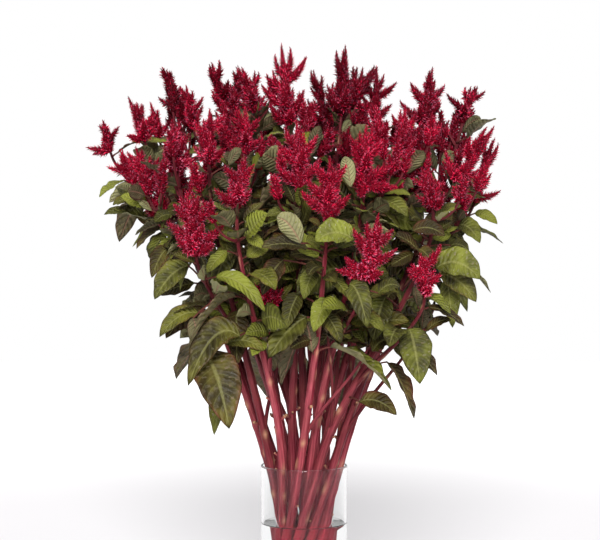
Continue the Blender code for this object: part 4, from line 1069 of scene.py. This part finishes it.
# %% Plan the small heads
SMALL_HEADS, HEAD_TRIES, HEAD_SPACING, LOWEST_HEAD = 125, 16000, 15.5, 484.0
small, middles, grown = {name: [] for name in routes}, [], []
names, sprout = list(routes), random.Random(SEED + 3)
for attempt in range(HEAD_TRIES):
    if len(middles) >= SMALL_HEADS:
        break
    name = names[sprout.randrange(len(names))]
    route = routes[name]
    length = sprout.uniform(max(20.0, route.run[-1] - 110.0), route.run[-1] - 8.0)
    root = route.heart(length)
    way = outward_way(sprout, root, 0.5)
    base = root + way * sprout.uniform(11.0, 34.0) + UP * sprout.uniform(14.0, 46.0)
    axis = unit(UP + way * sprout.uniform(0.1, 0.55)) * sprout.uniform(26.0, 46.0)
    girth, tip, middle = sprout.uniform(5.8, 7.8), base + axis, base + axis * 0.5
    if middles and np.linalg.norm(np.array(middles) - middle, axis=1).min() < HEAD_SPACING:
        continue
    if base[2] > LOWEST_HEAD and all(is_far(point, far, kind) for point, far, kind in (
            (base, 7.0, "head_"), (middle, 7.0, "head_"), (tip, 3.5, "head_"), (base, 3.0, "stem_"),
            (middle, 4.5, "stem_"), (tip, 2.0, "stem_"))):
        middles.append(middle)
        small[name].append((length, base, tip, girth))
        fat = girth + 2.5
        ring = [middle - axis * 0.2 + np.array(corner) * fat for corner in (
            (1, 0, 0), (0, 1, 0), (-1, 0, 0), (0, -1, 0))]
        faces = [(pole, 1 + k, 1 + (k + 1) % 4) for pole in (0, 5) for k in range(4)]
        grown.append(with_box(np.array([base, *ring, tip]), faces))
print("small heads:", len(middles), "after", attempt, "tries")

# %% Try a small leaf, and hold it to the light
def leaf_sheet(leaf):
    """A leaf as two rows of quads either side of its midrib, for trying it."""
    u = np.array((0.04, 0.22, 0.42, 0.62, 0.82, 0.98))
    _, side, up = leaf.directions(u)
    half = (leaf.width / 2 * leaf_width(u))[:, None]
    spine = leaf.midrib(u)
    rows = [spine - half * side + half * math.sin(leaf.fold) * up, spine,
            spine + half * side + half * math.sin(leaf.fold) * up]
    points = np.stack(rows, 1).reshape(-1, 3)
    faces = [(3 * r + k, 3 * r + k + 1, 3 * r + k + 4, 3 * r + k + 3) for r in range(5) for k in range(2)]
    return points, faces


def angle_to(leaf, normal):
    """The roll that would turn a leaf's upper face from where it is now to a direction."""
    _, side, up = (part[0] for part in leaf.directions(np.array([0.5])))
    return math.atan2(-normal.dot(side), normal.dot(up))


def face_outwards(leaf, root, grow):
    """Roll a leaf about its chord until its upper face looks out of the bunch and a little up."""
    normal = unit(outwards_from(root) + grow.uniform(0.1, 0.9) * UP)
    leaf.roll += 0.8 * angle_to(leaf, normal) + grow.uniform(-0.75, 0.75)


def face_front(leaf):
    """Roll a leaf most of the way until the nearer of its faces looks to the front."""
    angle = angle_to(leaf, unit(FRONT + 0.3 * UP))
    leaf.roll += 0.75 * (angle - math.pi * round(angle / math.pi))


# The leaves placed one by one are a little wider than their solids, and these, by number, are more so.
WIDER, WIDER_BY_EYE = 1.08, {2: 1.15, 7: 1.6, 8: 1.4, 26: 1.3, 29: 1.3}
for number, leaf in front.items():
    face_front(leaf)
    leaf.width *= WIDER_BY_EYE.get(number, WIDER)
    grown.append(with_box(*leaf_sheet(leaf)))
print("leaves held to the front:", len(front))

# %% Grow the small leaves: fewer low in front and high outside, and the last ones near the axis
EXTRA_LEAVES, INNER_LEAVES, LEAF_TRIES, INNER_REACH = 1100, 400, 24000, 115.0
LOWEST_ROOT, LOWEST_TIP = 345.0, 334.0
LOW_SPREAD, LOW_HEIGHT, SPREAD_SLOPE = 148.0, 340.0, 0.42
LINES = list(routes.items()) + shoots
extra, kept, grow = {name: [] for name in routes}, 0, random.Random(SEED + 1)

for attempt in range(LEAF_TRIES):
    if kept >= EXTRA_LEAVES:
        break
    name, route = LINES[grow.randrange(len(LINES))]
    length = grow.uniform(route.at_height(max(LOWEST_ROOT, route.points[0][2] + 12.0)), route.run[-1] - 3.0)
    root = route.heart(length)
    is_front_low = root[1] < -30.0 and root[2] < 440.0
    is_outer_high = root[2] > 520.0 and math.hypot(root[0], root[1]) > 80.0
    if (is_front_low or is_outer_high) and grow.random() < 0.65:
        continue
    if kept > EXTRA_LEAVES - INNER_LEAVES and math.hypot(root[0], root[1]) > INNER_REACH:
        continue
    near_top = smooth_step(route.run[-1] - 90.0, route.run[-1], length)
    way = outward_way(grow, root, 0.7)
    size = grow.uniform(34.0, 68.0) * (1.0 - 0.5 * near_top)
    rise = math.radians(grow.uniform(-65.0, 15.0) + 55.0 * near_top)
    base = root + way * (route.radius(length) + size * grow.uniform(0.05, 0.28)) + UP * 4.0
    end = base + size * (way * math.cos(rise) + UP * math.sin(rise))
    leaf = Leaf(root, base, end, size * grow.uniform(0.48, 0.68), size * grow.uniform(0.04, 0.14),
                0.0, grow.uniform(0.08, 0.4), size * 0.035)
    face_outwards(leaf, root, grow)
    points, faces = leaf_sheet(leaf)
    if math.hypot(end[0], end[1]) > LOW_SPREAD + SPREAD_SLOPE * (end[2] - LOW_HEIGHT):
        continue
    if end[2] > LOWEST_TIP and is_clear(points, faces, list(SOLIDS.values()) + grown):
        grown.append(with_box(points, faces))
        extra[name].append(leaf)
        kept += 1
print("small leaves:", kept, "after", attempt, "tries")

# %% Give every leaf its own tint and flush: a fifth fresh, half olive, the rest dark and reddened
paint = random.Random(SEED + 2)
for name in routes:
    for leaf in leaves[name] + extra[name]:
        kind = paint.random()
        if kind < 0.2:
            leaf.tint, leaf.flush = paint.uniform(0.65, 1.0), paint.uniform(0.0, 0.3)
        elif kind < 0.66:
            leaf.tint, leaf.flush = paint.uniform(0.25, 0.6), paint.uniform(0.0, 0.7)
        else:
            leaf.tint, leaf.flush = paint.uniform(0.06, 0.34), paint.uniform(0.45, 1.0)
BY_EYE = {0: (0.28, 0.85), 1: (0.26, 0.6), 2: (0.64, 0.1), 3: (0.40, 0.3), 4: (0.38, 0.2), 5: (0.60, 0.2),
          6: (0.80, 0.1), 7: (0.56, 0.2), 8: (0.36, 0.5), 9: (0.42, 0.4), 16: (0.5, 0.7), 18: (0.85, 0.1),
          19: (0.70, 0.2)}
for number, (tint, flush) in BY_EYE.items():
    if number in front:
        front[number].tint, front[number].flush = tint, flush
print("leaves tinted by hand:", sum(number in front for number in BY_EYE))

# %% Draw every stem with its shoots and leaves
PALE_STEMS = ("front_left", "front_mid", "centre_right")
total = 0
for number, (name, family) in enumerate(families.items()):
    seeds = np.random.default_rng(SEED + number)
    skin = Skin()
    tone = 1.0 if name in PALE_STEMS else seeds.uniform(0.25, 0.95)
    add_stalk(skin, routes[name], 84, 20, tone, seeds, True)
    for side in family[1:]:
        add_stalk(skin, routes[side], 34, 12, tone * 0.8, seeds, False)
    for owner, shoot in shoots:
        if owner == name:
            add_stalk(skin, shoot, 26, 10, tone * 0.6, seeds, False)
    for _ in range(4):
        add_stub(skin, routes[name], seeds.uniform(110.0, 330.0), seeds.uniform(0.0, math.tau),
                 seeds.uniform(1.1, 2.0), tone)
    for side in family:
        for leaf in leaves[side]:
            add_leaf(skin, leaf, 25, 8)
        for leaf in extra[side]:
            add_leaf(skin, leaf, 11, 4)
        for length, base, tip, girth in small[side]:
            root = routes[side].heart(length)
            pull = base - unit(tip - base) * np.linalg.norm(base - root) * 0.55
            path = bezier(root, pull, base + unit(tip - base) * 2.0, np.linspace(0.0, 1.0, 9))
            add_twig(skin, path, np.linspace(1.9, 1.3, 9), tone * 0.6, 0.0)
    total += make_piece("grown_stem_" + name, skin, (stalk_finish, leaf_upper, leaf_under),
                        "stem_and_leaf", "stem_" + name)
print("triangles in stems and leaves:", total)

# %% [markdown]
# ## Flower heads
# Each spike of a celosia head is a soft axis packed with hundreds of dry, pointed petals that lean
# outwards and up. A petal is only four triangles, so that tens of thousands of them stay light. They
# sit on a spiral, each a golden turn on from the last, which fills a spike evenly with no rows.

# %% The flower finish
flower_finish, tree, shader = new_material("flower_petals", Specular_IOR_Level=0.06, Roughness=0.5)
place, uv, tint, flush = inputs_of(tree)
split = tree.nodes.new("ShaderNodeSeparateXYZ")
tree.links.new(uv, split.inputs[0])
cloud = use_group(tree, mottle, place, Scale=90.0, Detail=2.0)["Value"]
body = mix(tree, tint, (0.034, 0.0003, 0.002), (0.94, 0.009, 0.068))
# Painted highlight: petals with highlight flecks turn pink towards their tips; the flush value carries the
# flecks here.
tip_highlight = mix(tree, times(tree, ramp(tree, split.outputs["X"], 0.2, 0.9), flush),
           body, (1.0, 0.25, 0.42))
# Painted shade: every petal darkens towards its foot, where the petals crowd the core.
foot_shade = mix(tree, rest_of(tree, ramp(tree, split.outputs["X"], -0.2, 0.55)),
           tip_highlight, (0.075, 0.002, 0.006))
shaded = mix(tree, times(tree, cloud, 0.25), foot_shade, (0.14, 0.004, 0.012))
tree.links.new(shaded, shader.inputs["Base Color"])
print("finish:", flower_finish.name)


# %% The line and girth of a spike
def spike_girth(t):
    """Girth from root (0) to tip (1): a quick quarter sine up to full, then ((1-t)/(1-swell))^0.75."""
    return np.where(t < SWELL, 0.55 + 0.45 * np.sin(math.pi / 2 * np.clip(t / SWELL, 0, 1)),
                    (np.clip(1.0 - t, 0, 1) / (1.0 - SWELL)) ** 0.75)


# %% The petals of a spike
CORE_SHARE, PETAL_LENGTH, PETAL_AREA, CLUMP_LENGTH = 0.70, 4.3, 4.8, 7.0
TIP_LEAN, ADDED_LEAN, LEAN_SPREAD = 14.0, 46.0, 14.0


def add_petals(skin, path, girth, seeds, openness, tone, highlight_strength):
    """Petals on a spiral: the k-th stands where the k-th equal share of the spike's surface ends, k golden
    turns round; it leans out from the axis by 60 degrees, and by only 14 at the tip. The clump wave
    sin(4 angle + 2 pi length / 7 mm) lifts them in small clumps, and paints the lifted ones lighter and the
    sunk ones darker, a painted light and shade. Highlight flecks on some petals are painted highlights."""
    ways, sides, ups = carried_frames(path)
    t = np.linspace(0.0, 1.0, len(path))
    length = np.linalg.norm(np.diff(path, axis=0), axis=1).sum()
    fine = np.linspace(0.0, 1.0, 200)
    area = np.cumsum(spike_girth(fine) * girth * CORE_SHARE * math.tau * length / len(fine))
    number = int(area[-1] / PETAL_AREA)
    k = np.arange(number)
    at = np.interp((k + 0.5) / number * area[-1], area, fine)
    along, side, up, centre = (placed_along(at, t, part) for part in (ways, sides, ups, path))
    angle = k * PHYLLOTAXY + seeds.normal(0.0, 0.2, number)
    clump = np.sin(4.0 * angle + math.tau * at * length / CLUMP_LENGTH)
    out = np.cos(angle)[:, None] * side + np.sin(angle)[:, None] * up
    tangent = unit(np.cross(along, out))
    share = spike_girth(at)
    lean = np.radians((TIP_LEAN + ADDED_LEAN * share) * openness + seeds.normal(
        0.0, LEAN_SPREAD, number))[:, None]
    way = np.cos(lean) * along + np.sin(lean) * out
    keel = np.cross(tangent, way)
    size = (PETAL_LENGTH * (0.46 + 0.54 * share) * seeds.uniform(0.7, 1.25, number))[:, None]
    wide = 0.24 * size + 0.12
    foot = centre + out * (girth * CORE_SHARE * share * (0.90 + 0.12 * clump))[:, None]
    corners = np.stack((foot - tangent * wide, foot + tangent * wide, foot + keel * wide * 0.9,
                        foot + way * size + out * size * 0.10), 1)
    # The clump wave tints lifted petals lighter and sunk ones darker: painted light and shade.
    tints = tone + 0.26 * clump + seeds.normal(0.0, 0.28, number)
    # Highlight flecks: a random share of petals, more on the open heads, get a painted highlight at the tip.
    highlight_flecks = highlight_strength * 1.9 * seeds.uniform(0.0, 1.0, number) ** 2.0
    first = skin.add_points(corners, np.repeat(np.clip(tints, 0, 1), 4), np.repeat(np.clip(highlight_flecks, 0, 1), 4))
    faces = np.array(((0, 1, 2), (0, 2, 3), (2, 1, 3), (1, 0, 3)))
    faces = first + 4 * k[:, None, None] + faces[None]
    uvs = np.zeros((number, 4, 3, 2))
    uvs[:, 1:, 2, 0] = 1.0
    uvs[..., 1] = seeds.uniform(0.0, 1.0, number)[:, None, None]
    skin.add_faces(faces.reshape(-1, 3), uvs, 0, soft=False)
    return number


# %% The dark core of a spike, its darkness a painted shade
def add_core(skin, path, girth, tone):
    """A tapering closed tube of CORE_SHARE of the girth, which shuts the gaps between the petals."""
    t = np.linspace(0.0, 0.94, 7)
    centres = placed_along(t, np.linspace(0.0, 1.0, len(path)), path)
    _, sides, ups = carried_frames(centres)
    radii = (girth * CORE_SHARE * spike_girth(t))[:, None]
    points = rings_round(centres, radii, sides, ups, np.arange(6) * math.tau / 6)
    # The core takes six tenths of the head's tone: a painted shade in the gaps between the petals.
    skin.add_tube(points, np.full(7, 0.1), np.linspace(0.0, 1.0, 7), 0, tone * 0.6, 0.0, (path[0], path[-1]))


def spike_path(root, base, axis, tip):
    """From a place on the head's axis to a tip, pulled first along the way and then out sideways."""
    reach = tip - base
    sideways = unit(reach - axis * reach.dot(axis) / axis.dot(axis) + 1e-6)
    far = np.linalg.norm(tip - root)
    return bezier(root, root + (tip - root) * 0.42 + sideways * far * 0.22, tip, np.linspace(0.0, 1.0, 11))


print("spike parts ready")

# %% Draw every flower head
MAIN_SPIKE, CLEAR_OF_HEADS = 0.84, 4.0
MOST_SPIKES, MOST_SMALL_SPIKES = 9, 5
OPEN_HEADS = ("left_ball", "front_ball", "right_ball", "low_dark", "front_left")


def extra_spikes(name, base, tip, girth, seeds, most):
    """Slender spikes low on a head that fill it out, kept where they are clear of other heads."""
    others = [tree for other, (_, _, tree) in SOLIDS.items()
              if other.startswith("head_") and other != "head_" + name]
    axis, found = tip - base, []
    for _ in range(4 * most):
        angle, rise = seeds.uniform(0.0, math.tau), seeds.uniform(0.12, 0.88)
        out = girth * seeds.uniform(0.9, 2.3) * (1.15 - 0.7 * rise)
        end = base + axis * rise + out * level_way(angle) + UP * girth * 0.9
        if len(found) < most and all(tree.find_nearest(Vector(end), CLEAR_OF_HEADS)[0] is None
                                     for tree in others):
            found.append((end, girth * seeds.uniform(0.40, 0.52)))
    return found


def add_head(skin, base, tip, girth, ends, seeds, openness, tone, highlight_strength):
    """A whole head: its long spike, a little bowed, and a shorter one to each end."""
    axis, count = tip - base, 0
    bow = unit(np.cross(axis, seeds.normal(0.0, 1.0, 3))) * np.linalg.norm(axis) * 0.05
    lines = [(bezier(base, base + axis * 0.5 + bow, tip, np.linspace(0.0, 1.0, 15)), girth)]
    for end, thick in ends:
        share = min(0.6, max(0.05, (end - base).dot(axis) / axis.dot(axis) - 0.30))
        lines.append((spike_path(base + axis * share, base, axis, end), thick))
    for path, thick in lines:
        own = tone + seeds.uniform(-0.26, 0.22)
        count += add_petals(skin, path, thick, seeds, openness, own, highlight_strength)
        add_core(skin, path, thick, tone)
    return count


total = petals = 0
for number, head in enumerate(MAIN_HEADS + SIDE_HEADS):
    name, base, tip, girth = head[0], np.array(head[3], float), np.array(head[4], float), head[5]
    seeds = np.random.default_rng(SEED + 100 + number)
    openness = 1.25 if name in OPEN_HEADS else 1.0
    tone = seeds.uniform(0.38, 0.70) - 0.42 * smooth_step(540.0, 640.0, base[2])
    # How much painted highlight a head carries: full on the open heads, less on the others and on high ones.
    highlight_strength = 1.0 if name in OPEN_HEADS else seeds.uniform(0.4, 0.85) * (
        1.0 - 0.5 * smooth_step(560.0, 620.0, base[2]))
    skin = Skin()
    ends = spikes[name] + extra_spikes(name, base, tip, girth, seeds, MOST_SPIKES)
    petals += add_head(skin, base, tip, girth * MAIN_SPIKE, ends, seeds, openness, tone, highlight_strength)
    for _, low, high, thick in small[name]:
        ends = extra_spikes(name, low, high, thick, seeds, MOST_SMALL_SPIKES)
        petals += add_head(skin, low, high, thick, ends, seeds, 1.1, tone, highlight_strength)
    total += make_piece("bloom_" + name, skin, (flower_finish,), "flower", "head_" + name)
print("petals:", petals, "triangles in heads:", total)

# %% [markdown]
# ## Vase and water
# The vase is a plain cylinder turned from one profile, with a rounded rim and a thick flat base. Rings
# close to each corner keep the smooth shading of the corner off the straight wall. The water meets the
# glass with no gap, because a film of air between them would mirror like silver, and its top curls up
# where it touches the wall. Wall and water bend light less than real ones do, which keeps the stalks
# behind them clear, and the rim bends it as real glass does, so that it draws a bright line.

# %% Glass and water finishes
GLASS_COLOUR, WATER_COLOUR = (0.99, 0.997, 0.993, 1.0), (0.99, 0.995, 0.992, 1.0)
glass_finish, rim_finish, water_finish = (
    new_material(name, Base_Color=colour, Roughness=roughness, Transmission_Weight=1.0, IOR=bend)[0]
    for name, colour, roughness, bend in (("clear_glass", GLASS_COLOUR, 0.0, 1.22),
                                          ("glass_rim", GLASS_COLOUR, 0.06, 1.5),
                                          ("clear_water", WATER_COLOUR, 0.0, 1.25)))
print("finishes:", glass_finish.name, rim_finish.name, water_finish.name)


# %% Turn a profile into a closed surface
def turned(skin, profile, sides, slots=0):
    """A profile of (radius, height) rows carried round the axis, closed by a point on it at each end.
    Slots gives each ring of faces its material."""
    profile = np.asarray(profile, float)
    a = np.arange(sides) * math.tau / sides
    ring = np.stack((np.cos(a), np.sin(a), np.zeros(sides)), -1)
    points = profile[:, None, :1] * ring[None] + profile[:, None, 1:] * UP
    along = np.linspace(0.0, 1.0, len(profile))
    ends = (profile[0, 1] * UP, profile[-1, 1] * UP)
    skin.add_tube(points, along, np.linspace(0.0, 1.0, sides + 1), slots, 0.5, 0.0, ends)


def arc(centre, radius, first, last, steps):
    """Points of an arc in the profile plane, from one angle in degrees to another."""
    a = np.radians(np.linspace(first, last, steps))
    return [(centre[0] + radius * c, centre[1] + radius * s) for c, s in zip(np.cos(a), np.sin(a))]


inner, edge = VASE_RADIUS - VASE_WALL, 1.2
rim, close = VASE_WALL / 2, 0.3
low_wall, top_wall = edge + close, VASE_HEIGHT - rim - close
outline = [(2.0, 0.0), (VASE_RADIUS - low_wall, 0.0)] + arc((VASE_RADIUS - edge, edge), edge, -90.0, 0.0, 5)
outline += [(VASE_RADIUS, low_wall), (VASE_RADIUS, 130.0), (VASE_RADIUS, top_wall)]
rounded = arc((VASE_RADIUS - rim, VASE_HEIGHT - rim), rim, 0.0, 180.0, 9)
first = len(outline)
outline += rounded + [(inner, top_wall), (inner, 130.0), (inner, VASE_BASE + low_wall)]
outline += arc((inner - edge, VASE_BASE + edge), edge, 0.0, -90.0, 5)
outline += [(inner - low_wall, VASE_BASE), (2.0, VASE_BASE)]
step = np.arange(len(outline) - 1)
skin = Skin()
turned(skin, outline, 96, ((step >= first) & (step < first + len(rounded) - 1))[:, None].astype(int))
print("vase triangles:", make_piece("vase_of_glass", skin, (glass_finish, rim_finish), "glass", "vase"))

# %% The water, with its edge drawn up the glass
skin = Skin()
wet = inner + 0.02
bottom = VASE_BASE + 0.1
surface = [(wet, WATER_LEVEL + 1.6), (wet - 0.5, WATER_LEVEL + 0.75), (wet - 1.5, WATER_LEVEL + 0.25),
           (wet - 4.0, WATER_LEVEL), (20.0, WATER_LEVEL), (2.0, WATER_LEVEL)]
lower = [(2.0, bottom), (30.0, bottom), (inner - edge - 0.2, bottom), (inner - edge, bottom),
         (wet, bottom + edge), (wet, bottom + edge + 0.2), (wet, 70.0), (wet, WATER_LEVEL + 1.4)]
turned(skin, lower + surface, 96)
print("water triangles:", make_piece("vase_water", skin, (water_finish,), "water", "water"))

# %% [markdown]
# ## Floor, light and camera
# The bunch stands on a pale floor under an even white sky, as in a light tent, with one broad soft
# light in front, a little above the bunch, and a weaker one overhead. The floor is painted darker near
# the bunch, a painted shade, and lighter and glowing away from it, a painted light, until it meets the
# sky with no line. The camera looks slightly down through a long lens, which keeps the bunch free of
# perspective.

# %% A round pale floor, a hair below the vase's foot
FLOOR_RADIUS, FLOOR_DEPTH, FLOOR_DROP = 3500.0, 12.0, 0.0002
skin = Skin()
turned(skin, [(0.01, -FLOOR_DEPTH), (FLOOR_RADIUS, -FLOOR_DEPTH), (FLOOR_RADIUS, 0.0), (1200.0, 0.0),
              (400.0, 0.0), (0.01, 0.0)], 64)
floor_mesh = bpy.data.meshes.new("pale_floor")
floor_mesh.from_pydata((np.concatenate(skin.points) * MM - FLOOR_DROP * UP).tolist(), [], np.split(
    np.concatenate(skin.corners), np.cumsum(np.concatenate(skin.sizes))[:-1]))
floor_finish, tree, shader = new_material("pale_floor", Roughness=0.7, Emission_Strength=1.0)
place, _, _, _ = inputs_of(tree)
radius = tree.nodes.new("ShaderNodeVectorMath")
radius.operation = "LENGTH"
tree.links.new(place, radius.inputs[0])
# Painted shade and light on the floor: a darker colour within 1 m of the bunch, rising to a lighter one with
# a faint glow at 2.4 m.
far = ramp(tree, radius.outputs["Value"], 1.0, 2.4)
tree.links.new(mix(tree, far, (0.80, 0.785, 0.80), (0.94, 0.94, 0.94)), shader.inputs["Base Color"])
tree.links.new(mix(tree, far, (0.0, 0.0, 0.0), (0.3, 0.3, 0.3)), shader.inputs["Emission Color"])
floor_mesh.materials.append(floor_finish)
floor = bpy.data.objects.new("pale_floor", floor_mesh)
bpy.context.scene.collection.objects.link(floor)
print("floor ready")

# %% Two soft, distant lamps
def aim(thing, place, target):
    """Put a lamp or camera at a place, looking at a target."""
    thing.location = place
    thing.rotation_euler = (Vector(target) - Vector(place)).to_track_quat("-Z", "Y").to_euler()


def soft_sun(name, place, width, strength):
    """A distant lamp that shines from a place towards the bunch, its disc as wide in degrees as given."""
    data = bpy.data.lights.new(name, "SUN")
    data.angle, data.energy = math.radians(width), strength
    lamp = bpy.data.objects.new(name, data)
    aim(lamp, place, (0.0, 0.0, 0.0))
    bpy.context.scene.collection.objects.link(lamp)


soft_sun("key_light", (-0.03, -1.5, 0.70), 20.0, 3.2)
soft_sun("top_light", (0.3, 0.5, 2.0), 60.0, 1.1)
print("lamps ready")

# %% The sky: full white to the eye and through the glass, and half as strong as a light on the bunch
SKY_LIGHT, MIRRORED_SHARE = 0.5, 0.6
world = bpy.data.worlds.new("light_tent")
world.use_nodes = True
sky = world.node_tree.nodes["Background"]
sky.inputs["Color"].default_value = (1.0, 1.0, 1.0, 1.0)
ray = world.node_tree.nodes.new("ShaderNodeLightPath")
mirrored = times(world.node_tree, ray.outputs["Is Singular Ray"], MIRRORED_SHARE)
seen = calculate(world.node_tree, "MAXIMUM", mirrored, calculate(
    world.node_tree, "MAXIMUM", ray.outputs["Is Camera Ray"], ray.outputs["Is Transmission Ray"]))
strength = calculate(world.node_tree, "ADD", SKY_LIGHT, calculate(
    world.node_tree, "MULTIPLY", seen, 1.0 - SKY_LIGHT))
world.node_tree.links.new(strength, sky.inputs["Strength"])
bpy.context.scene.world = world
bpy.context.scene.view_settings.view_transform = "Standard"
print("sky light on the bunch:", SKY_LIGHT)

# %% The camera
TILT = math.radians(3.0)
DISTANCE, AIM = 2.6, (-0.0046, 0.0, 0.425)
SENSOR_WIDTH, LENS = 36.0, 135.78
data = bpy.data.cameras.new("camera")
data.sensor_width, data.lens = SENSOR_WIDTH, LENS
camera = bpy.data.objects.new("camera", data)
aim(camera, (AIM[0], -DISTANCE * math.cos(TILT), AIM[2] + DISTANCE * math.sin(TILT)), AIM)
bpy.context.scene.collection.objects.link(camera)
bpy.context.scene.camera = camera
print("camera at", [round(value, 3) for value in camera.location])
